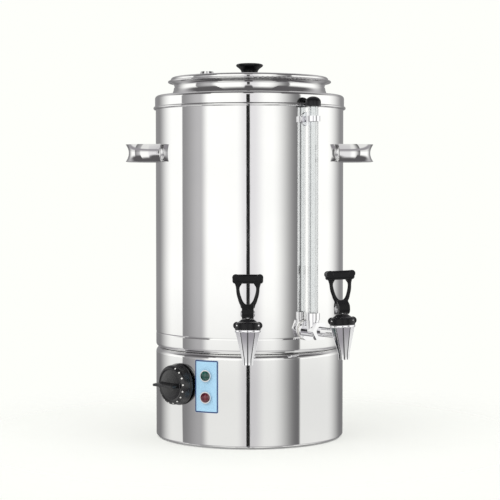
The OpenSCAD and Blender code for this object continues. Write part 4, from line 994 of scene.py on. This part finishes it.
@dataclass
class TapSet:
    """Levers, bonnets, fluted bodies and springs of the taps. Profiles and rings are in millimetres."""

    voxel: float = 0.38 * MM
    passes: int = 2
    bar: Point = (42.0 * MM, 10.5 * MM, 12.6 * MM)
    bar_up: float = 47.2 * MM
    bar_round: float = 3.4 * MM
    knuckle: float = 4.8 * MM
    knuckle_out: float = 16.4 * MM
    knuckle_up: float = 49.0 * MM
    knuckle_proud: float = 1.2 * MM
    arm_rings: tuple[tuple[float, float, float, float], ...] = (
        (5.0, 3.6, 4.2, 7.5), (5.2, 3.6, 5.2, 11.7), (3.6, 3.4, 8.2, 14.4), (3.1, 3.2, 9.7, 17.2),
        (2.8, 3.1, 10.7, 19.9), (2.8, 3.0, 11.6, 22.6), (2.7, 3.0, 12.4, 25.3), (2.6, 3.0, 13.0, 28.1),
        (2.5, 3.0, 13.4, 30.8), (2.4, 3.0, 13.6, 33.5), (2.8, 3.1, 13.6, 36.4), (4.3, 3.5, 13.1, 39.4),
        (5.6, 4.2, 12.6, 42.5),
    )
    neck_width: float = 16.0 * MM
    block_front: float = 12.0 * MM
    block_back: float = 9.0 * MM
    block_low: float = -7.15 * MM
    block_high: float = 5.5 * MM
    slope_high: float = 12.6 * MM
    slope_lap: float = 0.5 * MM
    slope_half: float = 4.4 * MM
    cam_radius: float = 7.0 * MM
    slot_width: float = 6.7 * MM
    slot_deep: float = 6.8 * MM
    slot_tall: float = 28 * MM
    slot_swing: Point = (0, -20.8 * MM, 8.4 * MM)
    slot_head: float = 5.6 * MM
    flange_profile: Profile = (
        (6.0, 12.6), (17.2, 12.6), (17.6, 13.2), (17.6, 21.0), (17.0, 22.0), (15.2, 22.9), (13.2, 23.8),
        (11.7, 24.8), (10.3, 26.0), (9.0, 27.0), (7.4, 27.9), (6.6, 28.6), (2.35, 28.6), (2.35, 17.6),
        (6.0, 17.5), (6.0, 12.6),
    )
    bonnet_top: float = 27.58 * MM
    bonnet_trim: Point = (30 * MM, 30 * MM, 4 * MM)
    stem_bore: float = 2.35 * MM
    bore_length: float = 30 * MM
    hub_profile: Profile = ((2.4, 27.0), (3.2, 27.0), (3.2, 28.2), (3.0, 28.4), (2.4, 28.4), (2.4, 27.0))
    eye_out: float = 14.9 * MM
    eye_up: float = 18.9 * MM
    eye_major: float = 3.1 * MM
    eye_minor: float = 2.1 * MM
    eye_stretch: float = 2.2
    eye_bore: float = 60 * MM
    pin_radius: float = 1.5 * MM
    pin_out: float = 9.8 * MM
    head_profile: Profile = ((4.3, 7.9), (4.3, 8.6), (3.698, 9.3), (2.15, 9.8), (0.43, 10.0))
    flutes: int = 10
    cup_low: float = -27 * MM
    cup_high: float = 11.2 * MM
    tip: float = -35 * MM
    cup_radii: Point = (7.9 * MM, 8.2 * MM, 17.9 * MM)
    cup_inside: float = 7 * MM
    nozzle_wall: float = 2.2 * MM
    nozzle_deep: float = 9 * MM
    groove: float = 0.95 * MM
    groove_deep: float = 0.6 * MM
    groove_share: float = 0.9
    # thickness of the dark strips that paint shade into the cup's grooves
    shade_strip_thick: float = 0.25 * MM
    rim_profile: Profile = (
        (13.2, 9.6), (17.2, 9.6), (17.7, 10.2), (17.7, 12.0), (17.2, 12.5), (13.2, 12.5), (13.2, 9.6))
    shank_ring: Profile = ((4.5, 9), (8.2, 9), (8.6, 9.6), (8.6, 15), (8.2, 15.6), (7.0, 16))
    coil_radius: float = 4.5 * MM
    coil_wire: float = 1 * MM
    coil_low: float = 3.7 * MM
    coil_high: float = 16.95 * MM
    coil_turns: int = 6
    coil_steps: int = 24
    valve_lift: float = 3.49 * MM

    def build(self, dresser: Dresser) -> None:
        """Models each form once and places a copy on each tap, out of the tank's reflections.

        Args:
            dresser: Gives the pieces their finishes.
        """
        lever, bonnet, pin = self._lever(), self._bonnet(), self._pin()
        cup, lines = self._cup()
        coil = self._coil()
        tank, black, steel = Body.BOILER, Slot.BLACK_PLASTIC, Slot.PLAIN_STEEL
        for tap in TAPS:
            column, hinge = tap.column(), tap.column(tap.pin_up, tap.lever_turn)
            cap = tap.column(turn=tap.bonnet_turn)
            for form, place, name, body, slot, node in (
                (lever, hinge, "lever_moulding", tap.lever, black, "tap_lever"),
                (pin, hinge, "pin_heads", tap.lever, steel, "lever_pin"),
                (bonnet, cap, "bonnet_moulding", tank, black, "tap_bonnet"),
                (cup, column, "tap_casting", tank, Slot.BRIGHT_CHROME, "tap_body"),
                # dark strips in the cup's grooves: painted shade
                (lines, column, "flute_painted_shade", tank, Slot.DARK_MOULDING, ""),
                (coil, column, "valve_coil", tank, steel, "valve_spring"),
            ):
                bench = form.copy().settle(place)
                if form is cup:
                    bench.join(self._shank(tap))
                angle = CRISP_ANGLE if form in (cup, lines) else SOFT_ANGLE
                piece = bench.finish(f"{tap.prefix}_{name}", body, angle)
                if node:
                    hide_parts(f"{tap.prefix}_{node}")
                dresser.dress(piece, slot)
                piece.visible_glossy = False
                if form is coil:
                    self._shorten(piece)
            for part in ("stem", "cup"):
                frame["nodes"][f"{tap.prefix}_valve_{part}"].visible_glossy = False
        for bench in (lever, bonnet, pin, cup, lines, coil):
            bpy.data.objects.remove(bench.piece)

    def _lever(self) -> Bench:
        """Models the lever about its pin: top bar, two arms, block with its cam and slot for the stem.

        Returns:
            The bench with the lever.
        """
        lever = Bench.box(self.bar, (0, 0, self.bar_up)).bevel(self.bar_round, 4)
        parts = []
        for side in (-1, 1):
            rings = [(w * MM, d * MM, (side * x * MM, 0.0, z * MM)) for w, d, x, z in self.arm_rings]
            parts.append(Bench.lofted(rings, 20))
            at = (side * self.knuckle_out, 0.0, self.knuckle_up)
            parts.append(Bench.rod(self.knuckle, self.bar[1] + self.knuckle_proud, "Y", at, 32))
        parts += self._block()
        lever.join(*parts).mould(self.voxel, self.passes)
        lever.cut(Bench.rod(self.slot_head, self.slot_width, "X", sides=40))
        wedge = Bench.box((self.slot_width, self.slot_deep, self.slot_tall), (0, 0, -self.slot_tall / 2))
        wedge.shift(self.slot_swing, lambda at: at.y < 0 and at.z < -self.slot_tall / 2)
        return lever.cut(wedge)

    def _block(self) -> list[Bench]:
        """Models the lever's block with its rounded cam, and the slope that leads up to the arms.

        Returns:
            The benches with the block and the slope.
        """
        deep = self.block_front + self.block_back
        middle = (self.block_back - self.block_front) / 2
        tall = self.block_high - self.block_low
        block = Bench.box((self.neck_width, deep, tall), (0, middle, self.block_low + tall / 2))
        front, low = NEAR - self.block_front, self.block_low + NEAR
        block.bevel(self.cam_radius, 10, lambda at: at.y < front and at.z < low)
        slope_tall = self.slope_high - self.block_high + self.slope_lap
        slope_middle = (0, middle, self.slope_high - slope_tall / 2)
        slope = Bench.box((self.neck_width, deep, slope_tall), slope_middle)
        top = self.slope_high - NEAR
        slope.shift((0, self.block_front - self.slope_half, 0), lambda at: at.y < 0 and at.z > top)
        slope.shift((0, self.slope_half - self.block_back, 0), lambda at: at.y > 0 and at.z > top)
        return [block, slope]

    def _bonnet(self) -> Bench:
        """Models the bonnet on the column: thick flange, flare and stem hub with an eye on each side.

        Returns:
            The bench with the bonnet.
        """
        flange = Bench.turned(scaled(self.flange_profile), 72, hollow=True)
        places = [(side * self.eye_out, 0, self.eye_up) for side in (-1, 1)]
        eyes = [Bench.eye(self.eye_major, self.eye_minor, at, self.eye_stretch) for at in places]
        bonnet = flange.join(*eyes).mould(self.voxel, self.passes)
        bonnet.cut(Bench.box(self.bonnet_trim, (0, 0, self.bonnet_top + self.bonnet_trim[2] / 2)))
        bonnet.cut(Bench.rod(self.stem_bore, self.bore_length, "Z", (0, 0, self.bonnet_top), 32))
        for at in places:
            bonnet.cut(Bench.rod(self.eye_major - self.eye_minor, self.eye_bore, "Y", at, 24))
        return bonnet.join(Bench.turned(scaled(self.hub_profile), 48, hollow=True))

    def _coil(self) -> Bench:
        """Winds the spring round the column, between the valve and the bonnet.

        Returns:
            The bench with the spring.
        """
        coil = Bench.hoop(self.coil_wire / 2, (self.coil_radius, 0, self.coil_low), (QUARTER, 0, 0), 10)
        pitch = (self.coil_high - self.coil_low) / self.coil_turns
        coil.modify("SCREW", axis="Z", screw_offset=pitch, iterations=self.coil_turns,
                    steps=self.coil_steps, render_steps=self.coil_steps)
        coil.edit("VERT")
        return coil.close(SEAM)

    def _shorten(self, piece: Object) -> None:
        """Gives a spring a mesh of its own.

        Args:
            piece: The spring.
        """
        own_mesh(piece)

    def _pin(self) -> Bench:
        """Models the lever's pin with its two domed heads.

        Returns:
            The bench with the pin.
        """
        pin = Bench.rod(self.pin_radius, 2 * self.pin_out, "X")
        heads = []
        for side in (-1, 1):
            turn = Matrix.Rotation(side * QUARTER, 4, "Y")
            heads.append(Bench.turned(scaled(self.head_profile), 40).settle(turn))
        return pin.join(*heads)

    def _cup(self) -> tuple[Bench, Bench]:
        """Models the fluted cup with its nozzle and rim.

        Returns:
            The benches with the cup and with the dark strips in the grooves between its flats, which paint
            shade there.
        """
        levels = (self.tip, self.cup_low, self.cup_high)
        cup = Bench.turned(list(zip(self.cup_radii, levels)), self.flutes)
        cup.edit("FACE")
        cup.pick(lambda at: at.z < self.tip + 0.1 * NEAR)
        bpy.ops.mesh.inset(thickness=self.nozzle_wall, depth=0)
        cup.extrude((0, 0, self.nozzle_deep))
        bpy.ops.mesh.select_mode(type="EDGE")
        spans = [(low + high) / 2 for low, high in zip(levels, levels[1:])]
        cup.pick(lambda at: min(abs(at.z - z) for z in spans) < 0.6 * NEAR
                 and math.hypot(at.x, at.y) > self.cup_inside)
        bpy.ops.mesh.bevel(offset=self.groove, segments=1, affect="EDGES")
        bpy.ops.mesh.select_mode(type="FACE")
        cup.pick(self._in_groove)
        bpy.ops.mesh.extrude_region_shrink_fatten(TRANSFORM_OT_shrink_fatten={"value": -self.groove_deep})
        # copies the groove floors as thin dark strips of painted shade
        bpy.ops.mesh.duplicate()
        bpy.ops.mesh.separate(type="SELECTED")
        cup.done()
        loose = [piece for piece in bpy.context.selected_objects if piece is not cup.piece]
        Bench.clear()
        bpy.context.view_layer.objects.active = loose[0]
        lines = Bench().modify("SOLIDIFY", thickness=self.shade_strip_thick, offset=1.0)
        return cup.join(Bench.turned(scaled(self.rim_profile), 72, hollow=True)), lines

    def _in_groove(self, at: Vector) -> bool:
        """Tells whether a face lies on the bevelled corner between two flats.

        Args:
            at: Middle of the face.

        Returns:
            Whether it does.
        """
        if not self.tip + NEAR < at.z < self.cup_high - NEAR or math.hypot(at.x, at.y) < self.cup_inside:
            return False
        return abs(math.cos(self.flutes / 2 * (math.atan2(at.y, at.x) - QUARTER))) > self.groove_share

    def _shank(self, tap: TapPlace) -> Bench:
        """Returns a tap's shank, in place, with a raised ring where it meets the cup.

        Args:
            tap: Tap that it belongs to.

        Returns:
            The bench with the shank.
        """
        ring = scaled(self.shank_ring)
        bore, outside = ring[0][0], ring[-1][0]
        profile = [*ring, (outside, tap.shank_length), (bore, tap.shank_length), ring[0]]
        return Bench.turned(profile, 48, True).settle(tap.upright() @ Matrix.Rotation(-QUARTER, 4, "X"))


@dataclass
class Dial:
    """Thermostat dial with a domed face, a blade grip and painted dots."""

    azimuth: float = -46.0
    back: float = 140.8 * MM
    height: float = 88.5 * MM
    profile: Profile = (
        (23.0, 0.2), (29.4, 0.2), (30.0, 0.8), (30.0, 2.8), (29.6, 3.6), (29.3, 4.2), (28.2, 13.8),
        (27.5, 15.2), (24.9, 17.5), (23.8, 17.8), (22.8, 16.9), (22.0, 16.6), (17.0, 17.4), (10.0, 18.0),
        (0.5, 18.2), (0.5, 9.0), (23.0, 8.0), (23.0, 0.2),
    )
    voxel: float = 0.5 * MM
    passes: int = 3
    grip: Point = (43 * MM, 7.5 * MM, 19 * MM)
    grip_top: float = 33 * MM
    grip_pinch: float = 2.0 * MM
    grip_taper: float = 2.5 * MM
    grip_round: float = 1.3 * MM
    dot_circle: float = 26.4 * MM
    dot_up: float = 16.3 * MM
    dot_tilt: float = 40.0
    dot_profile: Profile = ((1.25, 0.0), (1.25, 0.16), (0.75, 0.3))
    dot_count: int = 12
    dot_start: float = 22.0
    dot_step: float = 21.0
    finish: Moulding = Moulding("dial_plastic", BLACK, RUBBED_AND_HIGHLIT_BLACK, 0.26, specular=0.7)

    def build(self, dresser: Dresser) -> None:
        """Models the dial and its dots.

        Args:
            dresser: Gives the pieces their finishes.
        """
        place = outward(self.azimuth, self.back, self.height)
        skirt = Bench.turned(scaled(self.profile), 96, hollow=True)
        dial = skirt.join(self._blade()).mould(self.voxel, self.passes)
        piece = dial.settle(place).finish("dial_moulding", Body.DIAL)
        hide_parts("thermostat_dial")
        dresser.dress(piece, Slot.BLACK_PLASTIC, self.finish)
        piece = self._dots().settle(place).finish("dial_dots", Body.DIAL)
        dresser.dress(piece, Slot.PALE_SILICONE)

    def _blade(self) -> Bench:
        """Models the grip, pinched along its top and tapered towards its foot.

        Returns:
            The bench with the grip.
        """
        middle = self.grip_top - self.grip[2] / 2
        blade = Bench.box(self.grip, (0, 0, middle))
        for side in (-1, 1):
            blade.shift((0, -side * self.grip_pinch, 0), lambda at: side * at.y > 0 and at.z > middle)
        for side in (-1, 1):
            blade.shift((-side * self.grip_taper, 0, 0), lambda at: side * at.x > 0 and at.z < middle)
        return blade.bevel(self.grip_round, 3)

    def _dots(self) -> Bench:
        """Models the row of painted dots round the dial's front edge.

        Returns:
            The bench with all the dots.
        """
        dot = Bench.turned(scaled(self.dot_profile), 20)
        tilt = Matrix.Rotation(-math.radians(self.dot_tilt), 4, "X")
        dot.settle(Matrix.Translation((0, self.dot_circle, self.dot_up)) @ tilt)
        turns = [Matrix.Rotation(-math.radians(self.dot_start + count * self.dot_step), 4, "Z")
                 for count in range(self.dot_count)]
        copies = [dot.copy().settle(turn) for turn in turns[1:]]
        return dot.settle(turns[0]).join(*copies)


@dataclass
class LidKnob:
    """Flared knob on the lid."""

    foot: float = 540.25 * MM
    profile: Profile = (
        (12.6, 0.0), (12.9, 0.5), (12.5, 1.6), (12.2, 3.6), (12.8, 5.8), (14.2, 7.8), (16.6, 9.8),
        (18.8, 11.4), (20.0, 12.6), (20.2, 13.4), (19.9, 14.4), (18.8, 15.4), (16.0, 16.1), (10.0, 16.4),
    )

    def build(self, dresser: Dresser) -> None:
        """Turns the knob.

        Args:
            dresser: Gives the knob its finish.
        """
        knob = Bench.turned([(r, self.foot + z) for r, z in scaled(self.profile)], 72)
        piece = knob.finish("lid_knob_moulding", Body.LID, ROUND_ANGLE)
        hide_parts("lid_knob")
        dresser.dress(piece, Slot.BLACK_PLASTIC)


@dataclass
class Handles:
    """Bowed side handles of dished steel section on round rosettes."""

    wall: float = 140.0 * MM
    rosette_face: float = 143.05 * MM
    leg_start: float = 122 * MM
    bend_at: float = 146 * MM
    bend_radius: float = 26 * MM
    leg_out: float = 49 * MM
    height: float = 422.6 * MM
    half_tall: float = 12.7 * MM
    half_deep: float = 8 * MM
    dish: float = 4.6 * MM
    dish_share: float = 0.12
    face_back: float = 0.6 * MM
    sides: int = 64
    steps: int = 16
    trim_height: float = 60 * MM
    rosette_turn: float = 20.27
    rosette_profile: Profile = (
        (3.0, -0.6), (13.6, -0.6), (13.8, 0.4), (13.6, 1.6), (12.8, 2.6), (11.4, 3.0), (3.0, 3.0))

    def build(self, dresser: Dresser) -> None:
        """Models the right handle by extruding and spinning its section, and turns a copy to the left.

        Args:
            dresser: Gives the pieces their finish.
        """
        right = self._bow()
        left = right.copy().settle(Matrix.Rotation(math.pi, 4, "Z"))
        for form, name, node, angle in (
            (right, "right_handle_bow", "right_handle", ROUND_ANGLE),
            (left, "left_handle_bow", "left_handle", ROUND_ANGLE),
            (self._rosettes(), "handle_rosette_set", "handle_rosettes", SOFT_ANGLE),
        ):
            piece = form.finish(name, Body.BOILER, angle)
            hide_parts(node)
            dresser.dress(piece, Slot.POLISHED_STEEL)

    def _rosettes(self) -> Bench:
        """Turns one rosette and places four copies on the tank's wall.

        Returns:
            The bench with the four.
        """
        rosette = Bench.turned(scaled(self.rosette_profile), 56)
        copies = []
        for side in (-90, 90):
            for turn in (-self.rosette_turn, self.rosette_turn):
                copies.append(rosette.copy().settle(outward(side + turn, self.wall, self.height)))
        bpy.data.objects.remove(rosette.piece)
        return copies[0].join(*copies[1:])

    def _bow(self) -> Bench:
        """Models the right handle, dished along its outer face and trimmed to the rosettes.

        Returns:
            The bench with the handle.
        """
        start = (self.leg_start, -self.leg_out, self.height)
        bow = Bench.hoop(1.0, start, (QUARTER, 0, QUARTER), self.sides)
        bow.edit("VERT")
        bow.pick_all()
        bpy.ops.transform.resize(value=(1, self.half_deep, self.half_tall), center_override=start)
        self._dish(bow)
        bpy.ops.mesh.select_mode(type="EDGE")
        bow.pick_all()
        leg = self.bend_at - self.leg_start
        inner = self.leg_out - self.bend_radius
        bow.extrude((leg, 0, 0))
        self._spin(-inner)
        bow.extrude((0, 2 * inner, 0))
        self._spin(inner)
        bow.extrude((-leg, 0, 0))
        bow.close(SEAM)
        return bow.cut(Bench.rod(self.rosette_face, self.trim_height, "Z", (0, 0, self.height), 180))

    def _dish(self, bow: Bench) -> None:
        """Moves each level of the section's outer half onto a hollow curve with rims that stand out.

        Args:
            bow: The open section, in edit mode.
        """
        front = -self.leg_out - 0.1 * NEAR
        for level in range(self.sides // 4):
            rise = math.sin(2 * math.pi * level / self.sides)
            round_face = self.half_deep * math.sqrt(1 - rise * rise)
            hollow_face = self.half_deep - self.face_back + self.dish * (rise * rise - self.dish_share)
            bow.pick(lambda at: at.y < front
                     and abs(abs(at.z - self.height) - rise * self.half_tall) < 0.02 * NEAR)
            bpy.ops.transform.translate(value=(0, round_face - hollow_face, 0))

    def _spin(self, side: float) -> None:
        """Spins the open section round a quarter bend in edit mode."""
        centre = (self.bend_at, side, self.height)
        bpy.ops.mesh.spin(steps=self.steps, angle=-QUARTER, center=centre, axis=(0, 0, 1))


@dataclass(frozen=True)
class SoftBox:
    """A lit panel of the light tent, in degrees seen from the boiler, between two dim cloths."""

    start: float
    end: float
    fade_before: float
    fade_after: float
    before: float
    after: float

    def stops(self) -> list[tuple[float, float]]:
        """Returns azimuth and tone of the panel's four corners, left to right."""
        return [(self.start - self.fade_before, self.before), (self.start, 1.0),
                (self.end, 1.0), (self.end + self.fade_after, self.after)]


@dataclass
class Studio:
    """Camera, pale floor, soft lamps and the light tent that the steel mirrors.

    Directions in the tent are azimuths in degrees from the front, and heights from -1, straight down, to 1.
    """

    camera_at: Point = (0.0007, -2.3, 0.374)
    camera_tilt: float = 2.39
    camera_lens: float = 110.4
    white: Colour = (0.991, 1.0, 0.96)
    floor_radius: float = 1.25
    floor_albedo: float = 0.93
    floor_fade: Span = (0.16, 0.5)
    floor_clear: Span = (0.45, 1.0)
    lamps: tuple[tuple[str, Point, float], ...] = (
        ("key_lamp", (-1.3, -1.5, 1.9), 20.0), ("fill_lamp", (1.5, -1.2, 1.5), 12.0))
    lamp_size: float = 1.6
    lamp_aim: Point = (0, 0, 0.25)
    metal_level: float = 1.24
    diffuse_level: float = 0.86
    panels: tuple[SoftBox, ...] = (
        SoftBox(-108, -90, 38, 1.2, 0.24, 0.27),
        SoftBox(-50, -16, 12, 12, 0.48, 0.78),
        SoftBox(20, 27, 15, 33, 0.76, 0.19),
        SoftBox(64, 108, 1.2, 42, 0.19, 0.24),
    )
    lens_gap: Span = (-4.0, 0.6)
    gap_sides: Span = (0.8, 0.74)
    gap_blur: float = 0.3
    gap_heights: Span = (0.14, 0.22)
    gap_tone: float = 0.02
    dim_heights: Span = (-0.135, -0.06)
    dim_tone: float = 0.76
    table_sector: Span = (120, 150)
    table_top: Span = (-0.36, -0.2)
    table_foot: Span = (-0.6, -0.46)
    table_edge: Colour = (0.3, 0.287, 0.306)
    tall_panels: tuple[Span, ...] = ((-30.0, 20.0), (24.0, 17.0))
    panel_blur: float = 5.0
    panel_lift: float = 0.32
    ceiling_heights: Span = (0.2, 0.5)
    ceiling: Colour = (0.1, 0.096, 0.1)
    rear_sector: Span = (100, 130)
    rear_ceiling: Colour = (0.42, 0.412, 0.42)
    backdrop_sector: Span = (125, 150)

    def build(self) -> None:
        """Builds the whole stage."""
        self._camera()
        self._floor()
        self._lamps()
        self._tent()
        bpy.context.scene.view_settings.view_transform = "Standard"

    def _camera(self) -> None:
        """Places the camera at the photograph's angle."""
        data = bpy.data.cameras.new("camera")
        data.lens = self.camera_lens
        data.sensor_width = 36.0
        camera = bpy.data.objects.new("camera", data)
        camera.location = self.camera_at
        camera.rotation_euler = (math.radians(90 - self.camera_tilt), 0.0, 0.0)
        bpy.context.scene.collection.objects.link(camera)
        bpy.context.scene.camera = camera

    def _floor(self) -> None:
        """Lays a pale round floor that fades out at its edge and keeps the shadow."""
        Bench.clear()
        bpy.ops.mesh.primitive_circle_add(vertices=128, radius=self.floor_radius, fill_type="NGON")
        floor = bpy.context.active_object
        floor.name = "studio_floor"
        floor.visible_glossy = False
        material, w, shader = surface("floor_paper")
        place = w.object_place()
        shade = w.ramp(w.noise(place, 6.0, 4.0), 0.3, 0.7)
        low, high = (tuple(share * self.floor_albedo * c for c in self.white) for share in (0.99, 1.0))
        w.feed(shader, Base_Color=w.mix(shade, low, high), Roughness=0.9, Specular_IOR_Level=0.0)
        reach = w.add("VectorMath", {"operation": "LENGTH"}, in0=place).outputs["Value"]
        start, end = (share * self.floor_radius for share in self.floor_fade)
        blend = w.add("MixShader", in0=w.ramp(reach, start, end, self.floor_clear), in1=shader.outputs[0],
                      in2=w.add("BsdfTransparent").outputs[0])
        w.feed(w.tree.nodes["Material Output"], Surface=blend.outputs[0])
        floor.data.materials.append(material)

    def _lamps(self) -> None:
        """Hangs two soft lamps, kept out of the reflections."""
        for name, at, energy in self.lamps:
            data = bpy.data.lights.new(name, "AREA")
            data.size = self.lamp_size
            data.energy = energy
            lamp = bpy.data.objects.new(name, data)
            lamp.location = at
            lamp.rotation_euler = (Vector(self.lamp_aim) - Vector(at)).to_track_quat("-Z", "Y").to_euler()
            lamp.visible_glossy = False
            bpy.context.scene.collection.objects.link(lamp)

    def _tent(self) -> None:
        """Wraps the boiler in a light tent: panels for metal and glass, plain light for the rest."""
        world = bpy.data.worlds.new("light_tent")
        bpy.context.scene.world = world
        world.use_nodes = True
        w = Wiring(world.node_tree)
        ray = w.add("SeparateXYZ", Vector=w.add("TexCoord").outputs["Generated"]).outputs
        azimuth = w.math("ARCTAN2", ray[0], w.math("MULTIPLY", ray[1], -1.0))
        tone = w.mix(1.0, self._cloths(w, azimuth, ray[2]), (self.metal_level,) * 3, "MULTIPLY")
        path = w.add("LightPath").outputs
        behind = self._sector(w, azimuth, 0.0, self.backdrop_sector)
        direct = w.math("LESS_THAN", path["Glossy Depth"], 0.5)
        through = w.math("MULTIPLY", path["Is Transmission Ray"], w.math("MULTIPLY", behind, direct))
        seen = w.math("MAXIMUM", path["Is Camera Ray"], through)
        mirrored = w.math("MAXIMUM", path["Is Glossy Ray"], path["Is Transmission Ray"])
        light = w.mix(mirrored, (self.diffuse_level,) * 3, tone)
        w.feed(world.node_tree.nodes["Background"], Color=w.mix(seen, light, self.white))

    def _cloths(self, w: Wiring, azimuth: NodeSocket, height: NodeSocket) -> NodeSocket:
        """Hangs the panels, the gap for the lens, the table's edge and the ceiling.

        Args:
            w: Wiring of the world.
            azimuth: Direction of the ray, in radians.
            height: Its height.

        Returns:
            The tone that metal sees in that direction.
        """
        left, right = self.lens_gap
        half = (right - left) / 2
        gap = self._sector(w, azimuth, (left + right) / 2, (half - self.gap_blur, half), (1.0, 0.0))
        gap = w.math("MULTIPLY", gap, w.ramp(height, *self.gap_heights, (1.0, 0.0)))
        tone = w.mix(gap, self._bands(w, azimuth), (self.gap_tone,) * 3)
        tone = w.mix(1.0, tone, w.ramp(height, *self.dim_heights, (self.dim_tone, 1.0)), "MULTIPLY")
        ahead = self._sector(w, azimuth, 0.0, self.table_sector, (1.0, 0.0))
        under, over = w.ramp(height, *self.table_top, (1.0, 0.0)), w.ramp(height, *self.table_foot)
        table = w.math("MULTIPLY", ahead, w.math("MULTIPLY", under, over))
        tone = w.mix(table, tone, self.table_edge)
        raised = height
        for middle, half in self.tall_panels:
            lift = self._sector(w, azimuth, middle, (half, half + self.panel_blur), (self.panel_lift, 0.0))
            raised = w.math("SUBTRACT", raised, lift)
        rear = self._sector(w, azimuth, 0.0, self.rear_sector)
        ceiling = w.mix(rear, self.ceiling, self.rear_ceiling)
        return w.mix(w.ramp(raised, *self.ceiling_heights), tone, ceiling)

    def _bands(self, w: Wiring, azimuth: NodeSocket) -> NodeSocket:
        """Sets the panels round the boiler.

        Args:
            w: Wiring of the world.
            azimuth: Direction of the ray, in radians.

        Returns:
            Tone of the panel or cloth in that direction.
        """
        bands = w.add("ValToRGB", Fac=w.math("MULTIPLY_ADD", azimuth, 0.5 / math.pi, 0.5))
        bands.color_ramp.interpolation = "EASE"
        corners = [corner for panel in self.panels for corner in panel.stops()]
        corners += zip(self.lens_gap, self.gap_sides)
        elements = bands.color_ramp.elements
        for place, (angle, tone) in enumerate(sorted(corners)):
            where = 0.5 + angle / 360
            stop = elements[place] if place < 2 else elements.new(where)
            stop.position = where
            stop.color = (tone, 0.985 * tone, tone, 1.0) if tone < 0.9 else (tone, tone, 0.98 * tone, 1.0)
        return bands.outputs[0]

    @staticmethod
    def _sector(w: Wiring, azimuth: NodeSocket, middle: float, span: Span,
                to: Span = (0.0, 1.0)) -> NodeSocket:
        """Returns a value that changes over a span of degrees to either side of an azimuth."""
        aside = w.math("ABSOLUTE", w.math("SUBTRACT", azimuth, math.radians(middle)))
        return w.ramp(aside, math.radians(span[0]), math.radians(span[1]), to)


def main() -> None:
    """Builds the stage, dresses the CAD nodes and models the moulded pieces."""
    logging.basicConfig(level=logging.INFO, format="%(name)s: %(message)s")
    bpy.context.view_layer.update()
    Studio().build()
    dresser = Dresser()
    dresser.dress_nodes()
    for assembly in (TapSet(), Dial(), LidKnob(), Handles()):
        assembly.build(dresser)


if __name__ == "__main__":
    main()
